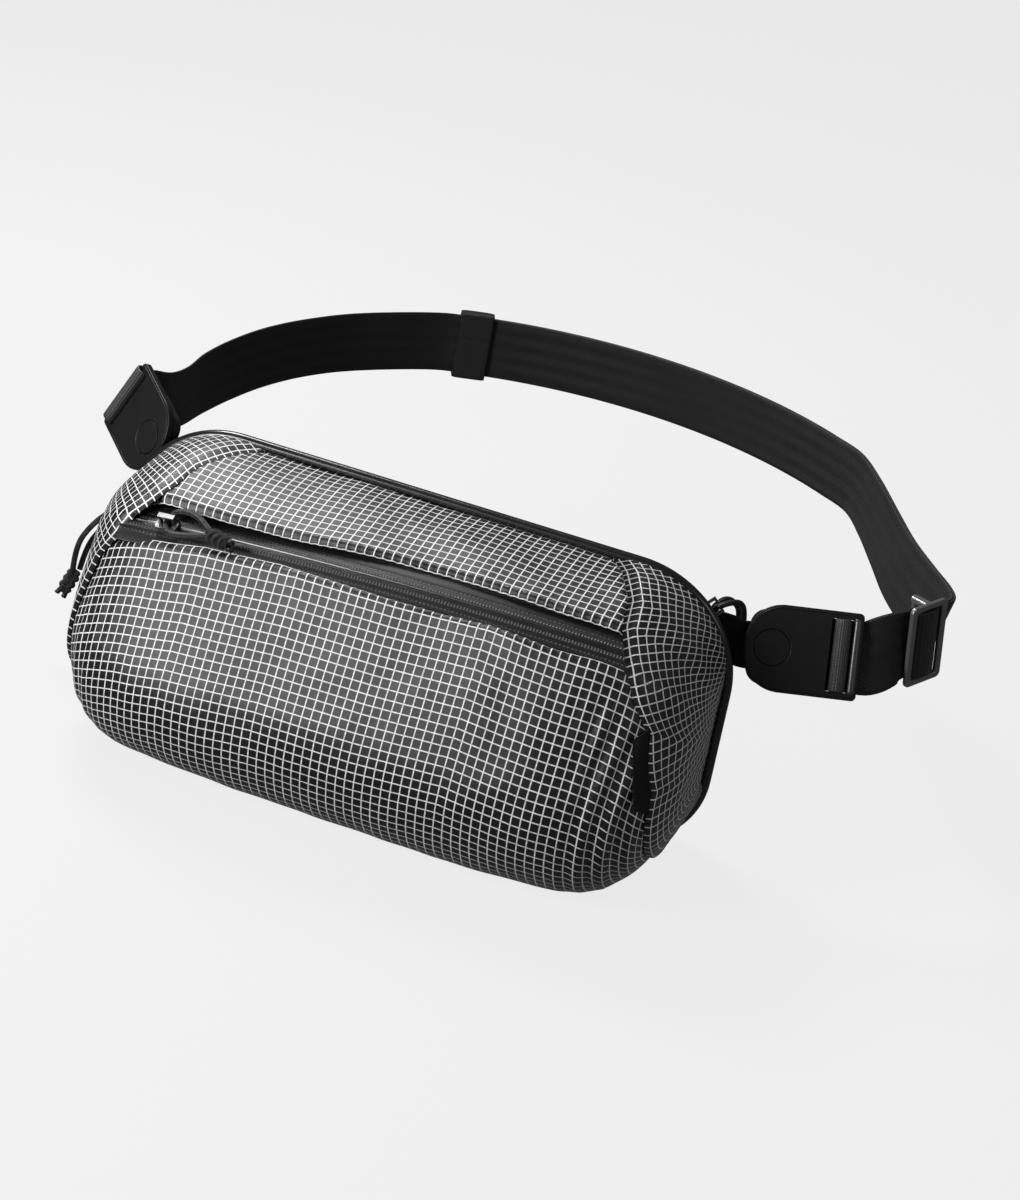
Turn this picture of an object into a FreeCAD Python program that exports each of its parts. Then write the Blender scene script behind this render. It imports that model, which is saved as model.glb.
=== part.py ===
"""Crossbody sling bag with a detachable, adjustable webbing strap.

Frame: +X along the bag, the front faces -Y, +Z up. The origin is the centre of
the flat bottom that the bag stands on. All lengths are millimetres.
"""
import FreeCAD, Part
import math
import os
import Sketcher

V = FreeCAD.Vector
doc = FreeCAD.newDocument("sling_bag")

# ---------------------------------------------------------------- dimensions
SIZES = {
    "bag_length": 340.0, "bag_height": 155.0, "front_depth": 122.0, "piping_plane": 50.0,
    "top_corner": 56.0, "bottom_corner": 47.0, "end_power": 4.1, "end_roundness": 4.4,
    "skin": 2.4, "lining_thick": 1.0, "pocket_offset": 7.0, "lining_offset": 11.0,
    "upper_panel": 69.5, "zip_band": 23.5, "lower_flat": 69.5, "belly_radius": 52.0,
    "zip_crown": 1700.0, "zip_span": 276.0, "zip_tape": 10.0, "zip_tape_thick": 1.0,
    "coil_width": 3.0, "coil_thick": 2.0, "tape_recess": 3.0,
    "gusset_depth": 20.0, "gusset_taper": 9.0, "back_thick": 6.0, "foam_thick": 4.0,
    "piping_radius": 3.2, "piping_stand": 1.6, "piping_back": 1.6, "base_press": 0.4,
    "main_zip_start": 5.0, "main_tape": 4.9, "main_coil": 1.6, "main_zip_floor": 92.0,
    "webbing": 38.0, "webbing_thick": 1.5, "tail_gap": 0.15, "anchor_webbing": 25.0,
    "plate_height": 46.0, "plate_thick": 4.0, "plate_tip": 14.5, "plate_round": 20.0,
    "right_reach": 46.5, "left_reach": 38.0, "slot_width": 3.2, "slot_height": 40.0,
    "first_slot": 30.0, "bar_width": 5.5, "plate_gap": 0.3,
    "base_length": 34.0, "base_height": 40.0, "base_thick": 4.0,
    "cover_radius": 9.3, "cover_thick": 1.0, "magnet_radius": 8.0, "magnet_thick": 2.0,
    "glide_length": 26.0, "glide_height": 47.0, "glide_bar": 4.0, "glide_thick": 2.6,
    "keeper_length": 20.5, "keeper_wall": 1.6, "keeper_clearance": 0.6,
    "strap_radius": 240.0, "strap_level": 138.0,
    "slider_length": 12.0, "slider_width": 9.0, "slider_thick": 3.0, "slider_gap": 0.3,
    "bridge_height": 5.2,
    "bridge_width": 3.0, "bridge_thick": 1.4, "cord_radius": 1.6,
    "knot_length": 15.0, "knot_radius": 4.3, "label_width": 12.0, "label_height": 38.0,
    "label_thick": 1.2,
}
sheet = doc.addObject("Spreadsheet::Sheet", "sizes")
for row, (alias, value) in enumerate(SIZES.items(), start=1):
    sheet.set("A%d" % row, alias)
    sheet.set("B%d" % row, str(value))
    sheet.setAlias("B%d" % row, alias)
doc.recompute()


def size(alias):
    """The value that the sheet holds for a driving dimension."""
    return float(sheet.get(alias))


HALF = size("bag_length") / 2
HEIGHT = size("bag_height")
PIPE_Y = size("piping_plane")
BACK_Y = PIPE_Y + size("gusset_depth")


# ------------------------------------------------------------------- helpers
def largest(shape):
    """The biggest solid of a cut, without the crumbs."""
    return max(shape.Solids, key=lambda solid: solid.Volume)


def frame(origin, ex, ez):
    """Placement whose local X and Z axes lie along ex and ez."""
    ex = V(ex).normalize()
    ez = V(ez)
    ez = (ez - ex * ez.dot(ex)).normalize()
    ey = ez.cross(ex)
    matrix = FreeCAD.Matrix(ex.x, ey.x, ez.x, origin.x, ex.y, ey.y, ez.y, origin.y,
                            ex.z, ey.z, ez.z, origin.z, 0, 0, 0, 1)
    return FreeCAD.Placement(matrix)


PARTS = []


def keep(obj, label, placement=None):
    """Registers an object of the document as a sub-part."""
    obj.Label = label
    if placement is not None:
        obj.Placement = placement
    PARTS.append(obj)
    return obj


def shaped(label, shape, placement=None):
    """A sub-part whose form only Part's own functions can make."""
    obj = doc.addObject("Part::Feature", "shape_" + label)
    obj.Shape = shape
    return keep(obj, label, placement)


def bind(obj, **expressions):
    for name, expression in expressions.items():
        obj.setExpression(name, expression)


def new_body(label):
    return doc.addObject("PartDesign::Body", "body_" + label)


def origin_plane(body, role):
    return [item for item in body.Origin.OriginFeatures if item.Role == role][0]


def rectangle(body, name, wide, tall, at=V(0, 0, 0)):
    """Sketch of a rectangle centred on a point of the body's XY plane."""
    sketch = body.newObject("Sketcher::SketchObject", name)
    sketch.AttachmentSupport = (origin_plane(body, "XY_Plane"), [""])
    sketch.MapMode = "FlatFace"
    sketch.AttachmentOffset = FreeCAD.Placement(at, FreeCAD.Rotation())
    corners = [V(-5, -4, 0), V(5, -4, 0), V(5, 4, 0), V(-5, 4, 0)]
    for start, end in zip(corners, corners[1:] + corners[:1]):
        sketch.addGeometry(Part.LineSegment(start, end))
    for side in range(4):
        sketch.addConstraint(Sketcher.Constraint("Coincident", side, 2, (side + 1) % 4, 1))
    sketch.addConstraint(Sketcher.Constraint("Horizontal", 0))
    sketch.addConstraint(Sketcher.Constraint("Horizontal", 2))
    sketch.addConstraint(Sketcher.Constraint("Vertical", 1))
    sketch.addConstraint(Sketcher.Constraint("Vertical", 3))
    sketch.addConstraint(Sketcher.Constraint("Symmetric", 0, 1, 1, 2, -1, 1))
    for label, side, expression in (("wide", 0, wide), ("tall", 1, tall)):
        kind = "DistanceX" if label == "wide" else "DistanceY"
        index = sketch.addConstraint(Sketcher.Constraint(kind, side, 1, side, 2, 8.0))
        sketch.renameConstraint(index, label)
        sketch.setExpression("Constraints." + label, expression)
    return sketch


def circle(body, name, radius, at=V(0, 0, 0)):
    """Sketch of a circle centred on a point of the body's XY plane."""
    sketch = body.newObject("Sketcher::SketchObject", name)
    sketch.AttachmentSupport = (origin_plane(body, "XY_Plane"), [""])
    sketch.MapMode = "FlatFace"
    sketch.AttachmentOffset = FreeCAD.Placement(at, FreeCAD.Rotation())
    sketch.addGeometry(Part.Circle(V(0, 0, 0), V(0, 0, 1), 5.0))
    sketch.addConstraint(Sketcher.Constraint("Coincident", 0, 3, -1, 1))
    index = sketch.addConstraint(Sketcher.Constraint("Radius", 0, 5.0))
    sketch.renameConstraint(index, "radius")
    sketch.setExpression("Constraints.radius", radius)
    return sketch


def extrude(body, name, sketch, length, kind="PartDesign::Pad", down=False):
    """Pad upwards or pocket downwards from a sketch, unless down turns it round."""
    feature = body.newObject(kind, name)
    feature.Profile = sketch
    feature.setExpression("Length", length)
    feature.Reversed = down
    sketch.Visibility = False
    return feature


def upright_edges(shape, choose):
    """Names of the straight edges along local Z that pass the test on their midpoint."""
    names = []
    for number, edge in enumerate(shape.Edges, start=1):
        along = edge.lastVertex().Point - edge.firstVertex().Point
        if abs(along.z) > 0.9 * along.Length and choose(edge.CenterOfMass):
            names.append("Edge%d" % number)
    return names


def round_edges(body, name, base, edges, radius):
    fillet = body.newObject("PartDesign::Fillet", name)
    fillet.Base = (base, edges)
    fillet.setExpression("Radius", radius)
    return fillet


# ------------------------------------------------------- outer form of the bag
def mid_profile():
    """Middle cross-section from the top seam forwards, down and under the belly.

    Each leg has a length and the tilt from vertical at its start and end, in
    degrees: 90 is level and facing up, 0 is vertical, -90 is level underneath.
    Returns (distance behind the top seam, drop below it) pairs.
    """
    belly = math.radians(115) * size("belly_radius")
    legs = [(size("upper_panel"), 95, 71, 7), (size("zip_band"), 64, 64, 2),
            (size("lower_flat"), 28, 22, 4), (belly, 25, -90, 12)]
    points = [(0.0, 0.0)]
    for length, first, last, steps in legs:
        for step in range(steps):
            tilt = math.radians(first + (last - first) * (step + 0.5) / steps)
            y, z = points[-1]
            points.append((y - math.sin(tilt) * length / steps, z - math.cos(tilt) * length / steps))
    drop = -points[-1][1]
    reach = -min(y for y, z in points)
    return [(y * size("front_depth") / reach, 1 + z / drop) for y, z in points]


PROFILE = mid_profile()


def corner_drop(x, radius):
    """How far the rounded corner of the outline falls back at a distance along the bag."""
    past = max(0.0, abs(x) - (HALF - radius))
    return radius - math.sqrt(max(0.0, radius * radius - past * past))


def section(x):
    """Closed cross-section of the front half of the bag at a distance along it."""
    top = HEIGHT - corner_drop(x, size("top_corner"))
    bottom = corner_drop(x, size("bottom_corner")) - size("base_press")
    fade = (1 - (abs(x) / HALF) ** size("end_power")) ** (1 / size("end_roundness"))
    points = [V(x, PIPE_Y + y * fade, bottom + rise * (top - bottom)) for y, rise in PROFILE]
    curve = Part.BSplineCurve()
    curve.interpolate(points)
    low, high = V(x, PIPE_Y, bottom), points[0]
    return Part.Wire([curve.toShape(), Part.makeLine(points[-1], low), Part.makeLine(low, high)])


END_STATIONS = (0.25, 0.5, 0.68, 0.8, 0.88, 0.94, 0.975, 0.994)
stations = [-u for u in reversed(END_STATIONS)] + [0.0] + list(END_STATIONS)
ground = Part.makeBox(4 * HALF, 4 * HALF, 60, V(-2 * HALF, -2 * HALF, -60))
bulk = Part.makeLoft([section(u * HALF) for u in stations], True, False).cut(ground)


def shrunk(offset):
    """The front form drawn in by an offset on every side but the open back."""
    scale = FreeCAD.Matrix()
    scale.A11 = (HALF - offset) / HALF
    scale.A22 = (size("front_depth") - offset) / size("front_depth")
    scale.A24 = PIPE_Y * (1 - scale.A22)
    scale.A33 = (HEIGHT - 2 * offset) / HEIGHT
    scale.A34 = offset
    return bulk.transformGeometry(scale)


def half_space(origin, normal, big=400.0):
    """A large block on the side of a plane that its normal points to."""
    across = V(0, 1, 0) if abs(normal.y) < 0.8 * normal.Length else V(0, 0, 1)
    block = Part.makeBox(2 * big, 2 * big, big, V(-big, -big, 0))
    block.Placement = frame(origin, across.cross(normal), normal)
    return block


# The front zip lies on a slightly crowned line across the front.
ZIP_CENTRE = V(4, -27, 141.5)
ZIP_ALONG = V(1, 0.028, 0.026)
ZIP_OUT = V(0, -0.43, 0.903)
zip_frame = frame(ZIP_CENTRE, ZIP_ALONG, ZIP_OUT)
zip_x = zip_frame.Rotation.multVec(V(1, 0, 0))
zip_y = zip_frame.Rotation.multVec(V(0, 1, 0))
zip_z = zip_frame.Rotation.multVec(V(0, 0, 1))

# The end panels lap over the front along a slanting plane at each end.
WING_EDGE = 97.0
wing_cut = {side: half_space(V(side * WING_EDGE, PIPE_Y, HEIGHT), V(side, 0.49, 0.28))
            for side in (-1, 1)}
slit = Part.makeBox(600, size("zip_band"), 60, V(-300, -size("zip_band") / 2, -40))
slit.Placement = zip_frame
above_zip = half_space(ZIP_CENTRE, zip_y)

front_skin = bulk.cut(shrunk(size("skin")))
centre_skin = front_skin.cut(wing_cut[1]).cut(wing_cut[-1])
panels = centre_skin.cut(slit)
shaped("front_upper_panel", largest(panels.common(above_zip)))
shaped("front_lower_panel", largest(panels.cut(above_zip)))
shaped("wing_left", front_skin.common(wing_cut[-1]))
shaped("wing_right", front_skin.common(wing_cut[1]))

# Linings: the wall behind the front pocket, and the main compartment's own bag.
pocket = shrunk(size("pocket_offset")).cut(shrunk(size("pocket_offset") + size("lining_thick")))
pocket_front = Part.makeBox(250, 90, 118, V(-125, -80, 14))
pocket_mouth = Part.makeBox(2 * 146, 26, 22, V(-146, -13, -14))
pocket_mouth.Placement = zip_frame
shaped("pocket_lining", largest(pocket.common(pocket_front).cut(pocket_mouth)))
shaped("main_lining", shrunk(size("lining_offset")).cut(
    shrunk(size("lining_offset") + size("lining_thick"))))


# --------------------------------------------------------- gusset and back panel
def outline(y, inset):
    """Rounded outline of the bag seen from the front, drawn in by an inset."""
    half = HALF - inset
    top, bottom = HEIGHT - inset, inset
    high, low = size("top_corner") - inset, size("bottom_corner") - inset
    corners = ((1, 1, high), (-1, 1, high), (-1, -1, low), (1, -1, low))
    edges = []
    ends = []
    for sx, sz, radius in corners:
        centre = V(sx * (half - radius), y, (top - radius) if sz > 0 else (bottom + radius))
        side, level = centre + V(sx * radius, 0, 0), centre + V(0, 0, sz * radius)
        middle = centre + V(sx, 0, sz).normalize() * radius
        first, last = (side, level) if sx * sz > 0 else (level, side)
        edges.append(Part.Arc(first, middle, last).toShape())
        ends.append((first, last))
    for number in range(4):
        edges.append(Part.makeLine(ends[number][1], ends[(number + 1) % 4][0]))
    return Part.Wire(Part.__sortEdges__(edges))


def ring(y_front, y_back, inset_front, inset_back):
    return Part.makeLoft([outline(y_front, inset_front), outline(y_back, inset_back)], True, True)


taper = size("gusset_taper")
gusset_solid = ring(PIPE_Y, BACK_Y, 0, taper)
gusset_wall = gusset_solid.cut(ring(PIPE_Y, BACK_Y, size("skin"), taper + size("skin")))


bag_wide = 2 * HALF + 20


def zip_strip(start, width):
    """Part of the gusset that a strip of the main zip takes up, over the top and both corners."""
    floor = size("main_zip_floor")
    block = Part.makeBox(bag_wide, width, 100, V(-bag_wide / 2, PIPE_Y + start, floor))
    return gusset_wall.common(block)


strip_start = size("main_zip_start")
tape, coil = size("main_tape"), size("main_coil")
main_front = zip_strip(strip_start, tape)
main_coil = zip_strip(strip_start + tape, coil)
main_rear = zip_strip(strip_start + tape + coil, tape)
shaped("gusset", gusset_wall.cut(zip_strip(strip_start, 2 * tape + coil)))
shaped("main_zip_tape_front", main_front)
shaped("main_zip_coil", main_coil)
shaped("main_zip_tape_rear", main_rear)

back_panel = ring(BACK_Y, BACK_Y + size("back_thick"), taper, taper + 3)
shaped("back_panel", back_panel)
shaped("back_foam", ring(BACK_Y - size("foam_thick"), BACK_Y, taper + 3, taper + 3))

# Piping bead around the seam between the front and the gusset.
bead_path = outline(PIPE_Y + size("piping_back"), -size("piping_stand"))
start_edge = bead_path.OrderedEdges[0]
start_point = start_edge.valueAt(start_edge.FirstParameter)
start_tangent = start_edge.tangentAt(start_edge.FirstParameter)
bead_ring = Part.Wire([Part.makeCircle(size("piping_radius"), start_point, start_tangent)])
bead = bead_path.makePipeShell([bead_ring], True, False)
bead = bead.cut(ring(PIPE_Y - 8, PIPE_Y + 16, 0, 0)).cut(ground)
ahead_of_seam = Part.makeBox(4 * HALF, 40, 2 * HEIGHT, V(-2 * HALF, PIPE_Y + 0.1 - 40, -20))
shaped("piping_bead", largest(bead.cut(ahead_of_seam)))

# Blank label tab caught in the right end panel's front seam.
label_frame = frame(V(147.5, -37, 103), V(0.62, 0.76, 0.18), V(0.72, -0.62, 0.3))
label_tab = Part.makeBox(size("label_width"), size("label_height"), size("label_thick"),
                         V(0, -size("label_height"), 0))
label_tab.Placement = label_frame
shaped("side_label", label_tab.cut(bulk))


# ------------------------------------------------------------------- front zip
def crowned(label, start, width, low, high, half_span):
    """Strip of the crowned zip line, between two levels relative to the surface."""
    crown = size("zip_crown")
    turn = math.degrees(2 * half_span / crown)
    axis = zip_frame.multiply(FreeCAD.Placement(V(0, start, -crown),
                                                FreeCAD.Rotation(V(1, 0, 0), -90)))
    outer = Part.makeCylinder(crown + high, width, V(0, 0, 0), V(0, 0, 1), turn)
    inner = Part.makeCylinder(crown + low, width, V(0, 0, 0), V(0, 0, 1), turn)
    strip = outer.cut(inner)
    strip.rotate(V(0, 0, 0), V(0, 0, 1), -90 - turn / 2)
    strip.Placement = axis.multiply(strip.Placement)
    return shaped(label, largest(strip.cut(front_skin)))


half_span = size("zip_span") / 2
recess = size("tape_recess")
tape_low = -recess - size("zip_tape_thick")
half_coil = size("coil_width") / 2
crowned("front_zip_tape_upper", half_coil, size("zip_tape"), tape_low, -recess, half_span)
crowned("front_zip_tape_lower", -half_coil - size("zip_tape"), size("zip_tape"), tape_low, -recess,
        half_span)
crowned("front_zip_coil", -half_coil, size("coil_width"), -recess - size("coil_thick"), -recess,
        half_span - 6)


def on_zip(along, across, out):
    """Point over the front zip: distance along it, up the bag from it and out of it."""
    crown = size("zip_crown")
    angle = along / crown
    flat = V((crown + out) * math.sin(angle), across, (crown + out) * math.cos(angle) - crown)
    return zip_frame.multVec(flat)


def on_corner(side, degrees, radius, y):
    """Point over an upper corner of the gusset: turn above level and distance from its centre."""
    turn = math.radians(degrees)
    centre = V(side * (HALF - size("top_corner")), y, HEIGHT - size("top_corner"))
    return centre + V(side * math.cos(turn), 0, math.sin(turn)) * radius


def slider(label, placement):
    """Zip slider: a flat body on the coil and a raised bridge for the pull."""
    body = new_body(label)
    base = extrude(body, "plate_" + label,
                   rectangle(body, "plate_sketch_" + label, "sizes.slider_length", "sizes.slider_width"),
                   "sizes.slider_thick")
    doc.recompute()
    rounded = round_edges(body, "corners_" + label, base,
                          upright_edges(base.Shape, lambda point: True), "sizes.bridge_width * 0.8")
    doc.recompute()
    block = extrude(body, "bridge_" + label,
                    rectangle(body, "bridge_sketch_" + label, "sizes.slider_length * 0.75",
                              "sizes.bridge_width"),
                    "sizes.slider_thick + sizes.bridge_height")
    doc.recompute()
    window = body.newObject("Sketcher::SketchObject", "window_sketch_" + label)
    window.AttachmentSupport = (origin_plane(body, "XZ_Plane"), [""])
    window.MapMode = "FlatFace"
    low = size("slider_thick")
    high = low + size("bridge_height") - size("bridge_thick")
    side = size("slider_length") * 0.375 - size("bridge_thick")
    corners = [V(-side, low, 0), V(side, low, 0), V(side, high, 0), V(-side, high, 0)]
    for start, end in zip(corners, corners[1:] + corners[:1]):
        window.addGeometry(Part.LineSegment(start, end))
    cut = body.newObject("PartDesign::Pocket", "window_" + label)
    cut.Profile = window
    cut.Type = 1
    cut.Midplane = True
    window.Visibility = False
    doc.recompute()
    body.Tip = cut
    return keep(body, label, placement)


# ------------------------------------------------------- cords and their knots
def cord_path(points):
    """Straight runs joined by tangent arcs, and the radii of the arcs."""
    edges = []
    radii = []
    here = points[0]
    for before, corner, after in zip(points, points[1:], points[2:]):
        back, ahead = before - corner, after - corner
        half_turn = (math.pi - back.getAngle(ahead)) / 2
        trim = 0.45 * min(back.Length, ahead.Length)
        radii.append(trim / math.tan(half_turn))
        start = corner + back.normalize() * trim
        end = corner + ahead.normalize() * trim
        bisector = (back + ahead).normalize()
        reach = radii[-1] / math.cos(half_turn) - radii[-1]
        middle = corner + bisector * reach
        edges.append(Part.LineSegment(here, start).toShape())
        edges.append(Part.Arc(start, middle, end).toShape())
        here = end
    edges.append(Part.LineSegment(here, points[-1]).toShape())
    return Part.Wire(edges), radii


def cord(label, points):
    """Plain tube along a cord's route."""
    path, radii = cord_path(points)
    direction = (points[1] - points[0]).normalize()
    ring_wire = Part.Wire([Part.makeCircle(size("cord_radius"), points[0], direction)])
    tube = path.makePipeShell([ring_wire], True, False)
    expected = math.pi * size("cord_radius") ** 2 * path.Length
    print("%s: length %.1f, arc radii %s, volume ratio %.3f" % (
        label, path.Length, ", ".join("%.1f" % radius for radius in radii), tube.Volume / expected))
    return shaped(label, tube)


def knot(label, start, end):
    """Wrapped barrel knot, a turned barrel with a rounded waist at each end."""
    body = new_body(label)
    sketch = body.newObject("Sketcher::SketchObject", "sketch_" + label)
    sketch.AttachmentSupport = (origin_plane(body, "XZ_Plane"), [""])
    sketch.MapMode = "FlatFace"
    long, radius = size("knot_length"), size("knot_radius")
    neck = radius * 0.62
    points = [V(0, 0, 0), V(neck, 0, 0), V(neck, long, 0), V(0, long, 0)]
    sketch.addGeometry(Part.LineSegment(points[0], points[1]))
    sketch.addGeometry(Part.Arc(points[1], V(radius, long / 2, 0), points[2]))
    sketch.addGeometry(Part.LineSegment(points[2], points[3]))
    sketch.addGeometry(Part.LineSegment(points[3], points[0]))
    turn = body.newObject("PartDesign::Revolution", "barrel_" + label)
    turn.Profile = sketch
    turn.ReferenceAxis = (sketch, ["V_Axis"])
    turn.Angle = 360
    sketch.Visibility = False
    axis = end - start
    across = V(0, 1, 0) if abs(axis.y) < 0.8 * axis.Length else V(1, 0, 0)
    return keep(body, label, frame(start, across.cross(axis), axis))


def pull(name, loop, knot_end):
    """Cord loop through a slider's bridge with its knot: loop runs from the knot and back."""
    neck = (loop[0] + loop[-1]) * 0.5
    cord(name + "_cord", loop)
    knot(name + "_knot", neck, neck + (knot_end - neck).normalize() * size("knot_length"))


FRONT_REST = -122.0
slider("front_slider", frame(on_zip(FRONT_REST, 0, size("slider_gap") - recess),
                             on_zip(FRONT_REST + 5, 0, 0) - on_zip(FRONT_REST - 5, 0, 0), zip_z))
FRONT_LOOP = [(26.0, -3.2, 5.2), (18.0, 4.2, 4.6), (8.0, 7.4, 4.0), (0.5, 5.0, 2.2),
              (0.5, -4.6, 2.2), (5.0, -9.4, 3.6), (15.0, -9.8, 4.6), (26.0, -6.8, 5.2)]
pull("front_pull", [on_zip(FRONT_REST + a, b, c) for a, b, c in FRONT_LOOP],
     on_zip(FRONT_REST + 40, -9.5, 5.6))


# ------------------------------------------------------------ main zip's two pulls
main_zip_y = PIPE_Y + strip_start + tape + coil / 2
main_inset = taper * (main_zip_y - PIPE_Y) / size("gusset_depth")
main_radius = size("top_corner") - main_inset
LEFT_TURN, RIGHT_TURN = 2.0, 45.0


def corner_slider(label, side, degrees):
    here = on_corner(side, degrees, main_radius, main_zip_y)
    outward = (on_corner(side, degrees, main_radius + 1, main_zip_y) - here)
    along = on_corner(side, degrees + 1, main_radius, main_zip_y) - here
    normal = outward + V(0, taper / size("gusset_depth"), 0)
    lift = normal.normalize() * (size("slider_gap") + 0.3)
    return slider(label, frame(here + lift, along, normal))


corner_slider("main_slider_left", -1, LEFT_TURN)
corner_slider("main_slider_right", 1, RIGHT_TURN)

bridge_middle = size("slider_thick") + (size("bridge_height") - size("bridge_thick")) / 2


def through(label, reach):
    """The two cord points on either side of a slider's bridge."""
    place = doc.getObject("body_" + label).Placement
    return [place.multVec(V(0, reach, bridge_middle)), place.multVec(V(0, -reach, bridge_middle))]


left_strand = [V(-201.5, 44.0, 52), V(-202.5, 46.0, 66), V(-197, 49.5, 79), V(-187, 52.5, 91)]
left_back = [V(-168, 70.5, 96.5), V(-172, 67.0, 92.0), V(-184, 60.5, 86), V(-193, 57.0, 77),
             V(-199, 52.5, 65), V(-199.5, 48.5, 52)]
pull("main_pull_left", left_strand + through("main_slider_left", -4.4) + left_back, V(-206, 40, 36))
right_strand = [V(167.5, 78.8, 118), V(167.7, 79.4, 129), V(166.0, 73.0, 141.5), V(161.0, 62.5, 144)]
right_back = [V(157.0, 73.5, 141.5), V(162.5, 81.0, 135.5), V(164.0, 83.4, 127), V(163.8, 83.2, 118)]
pull("main_pull_right", right_strand + through("main_slider_right", 4.2) + right_back,
     V(166.0, 83.0, 100))


# ------------------------------------------------------------------ webbing bands
def band(rows, width, thick, offset=0.0):
    """Webbing on edge along rows of (centre, direction across the width, pointing down)."""
    wires = []
    for number, (centre, down) in enumerate(rows):
        before, after = rows[max(number - 1, 0)][0], rows[min(number + 1, len(rows) - 1)][0]
        ahead = (after - before).normalize()
        across = (down - ahead * down.dot(ahead)).normalize()
        normal = ahead.cross(across).normalize()
        middle = centre + normal * offset
        corners = [middle + across * (a * width / 2) + normal * (b * thick / 2)
                   for a, b in ((-1, -1), (1, -1), (1, 1), (-1, 1))]
        wires.append(Part.makePolygon(corners + corners[:1]))
    return Part.makeLoft(wires, True, True)


# Buckle frames: X from the round end towards the bars, Z out of the front face.
RIGHT_EYE, LEFT_EYE = V(187, 68, 124), V(-181.6, 76, 129.2)
right_buckle = frame(RIGHT_EYE, V(0.953, 0.295, 0.063), V(0.242, -0.873, 0.423))
left_buckle = frame(LEFT_EYE, V(-0.727, 0.609, 0.325), V(-0.528, -0.791, 0.300))


def shifted(placement, x=0.0, y=0.0, z=0.0):
    return placement.multiply(FreeCAD.Placement(V(x, y, z), FreeCAD.Rotation()))


def buckle_plate(label, placement, reach, slots):
    """D-ended plate with its bars, and the pocket for the magnet and its cover."""
    body = new_body(label)
    middle = (size(reach) - size("plate_tip")) / 2
    base = extrude(body, "blank_" + label,
                   rectangle(body, "outline_" + label, "sizes.%s + sizes.plate_tip" % reach,
                             "sizes.plate_height", V(middle, 0, 0)), "sizes.plate_thick", down=True)
    doc.recompute()
    tip = round_edges(body, "tip_" + label, base,
                      upright_edges(base.Shape, lambda point: point.x < 0), "sizes.plate_round")
    doc.recompute()
    last = tip
    for number in range(slots):
        left = size("first_slot") + number * (size("slot_width") + size("bar_width"))
        sketch = rectangle(body, "slot_%d_%s" % (number, label), "sizes.slot_width",
                           "sizes.slot_height", V(left + size("slot_width") / 2, 0, 1))
        last = extrude(body, "cut_%d_%s" % (number, label), sketch, "sizes.plate_thick + 2",
                       "PartDesign::Pocket")
        doc.recompute()
    cover = extrude(body, "cover_seat_" + label, circle(body, "cover_ring_" + label,
                    "sizes.cover_radius"), "sizes.cover_thick", "PartDesign::Pocket")
    doc.recompute()
    last = extrude(body, "magnet_seat_" + label, circle(body, "magnet_ring_" + label,
                   "sizes.magnet_radius"), "sizes.cover_thick + sizes.magnet_thick",
                   "PartDesign::Pocket")
    doc.recompute()
    body.Tip = last
    return keep(body, label, placement)


def disc(label, radius, height, placement):
    obj = doc.addObject("Part::Cylinder", "disc_" + label)
    bind(obj, Radius=radius, Height=height)
    return keep(obj, label, placement)


def buckle_base(label, placement):
    """Part of the buckle that stays on the bag, with its own magnet's pocket."""
    body = new_body(label)
    level = -size("plate_thick") - size("plate_gap")
    sketch = rectangle(body, "outline_" + label, "sizes.base_length", "sizes.base_height",
                       V(size("base_length") / 2 - 12, 0, level))
    base = extrude(body, "blank_" + label, sketch, "sizes.base_thick", down=True)
    doc.recompute()
    tip = round_edges(body, "tip_" + label, base, upright_edges(base.Shape, lambda point: True),
                      "sizes.cover_radius")
    doc.recompute()
    seat = extrude(body, "magnet_seat_" + label,
                   circle(body, "magnet_ring_" + label, "sizes.magnet_radius", V(0, 0, level)),
                   "sizes.magnet_thick", "PartDesign::Pocket")
    doc.recompute()
    body.Tip = seat
    return keep(body, label, placement)


base_top = -size("plate_thick") - size("plate_gap")
base_back = base_top - size("base_thick")
for side, placement, reach, slots in (("left", left_buckle, "left_reach", 1),
                                      ("right", right_buckle, "right_reach", 2)):
    buckle_plate("buckle_plate_" + side, placement, reach, slots)
    disc("magnet_cover_" + side, "sizes.cover_radius", "sizes.cover_thick",
         shifted(placement, z=-size("cover_thick")))
    disc("plate_magnet_" + side, "sizes.magnet_radius", "sizes.magnet_thick",
         shifted(placement, z=-size("cover_thick") - size("magnet_thick")))
    buckle_base("buckle_base_" + side, placement)
    disc("base_magnet_" + side, "sizes.magnet_radius", "sizes.magnet_thick",
         shifted(placement, z=base_top - size("magnet_thick")))


def anchor(label, placement, seam):
    """Short webbing tab from the back seam to the rear face of a buckle base."""
    depth = base_back - size("webbing_thick") / 2
    down = placement.Rotation.multVec(V(0, -1, 0))
    if down.z > 0:
        down = -down
    rows = [(seam[0], V(0, 0, -1)), (seam[1], V(0, 0, -1)),
            (placement.multVec(V(-13, 0, depth)), down), (placement.multVec(V(14, 0, depth)), down)]
    strip = band(rows, size("anchor_webbing"), size("webbing_thick"))
    return shaped(label, strip.cut(gusset_solid).cut(back_panel))


anchor("anchor_tab_right", right_buckle, [V(146, 71.6, 121.5), V(162, 72.2, 121)])
anchor("anchor_tab_left", left_buckle, [V(-146, 71.6, 120.5), V(-158, 72.4, 121)])

# ------------------------------------------------------------------------- strap
# The back of the strap is an arc round RING_CENTRE; its ends are laid by hand.
RING_CENTRE = V(14, 111, 0)


def on_ring(degrees):
    turn = math.radians(degrees)
    level = V(0, 0, size("strap_level"))
    return RING_CENTRE + V(math.cos(turn), math.sin(turn), 0) * size("strap_radius") + level


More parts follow.
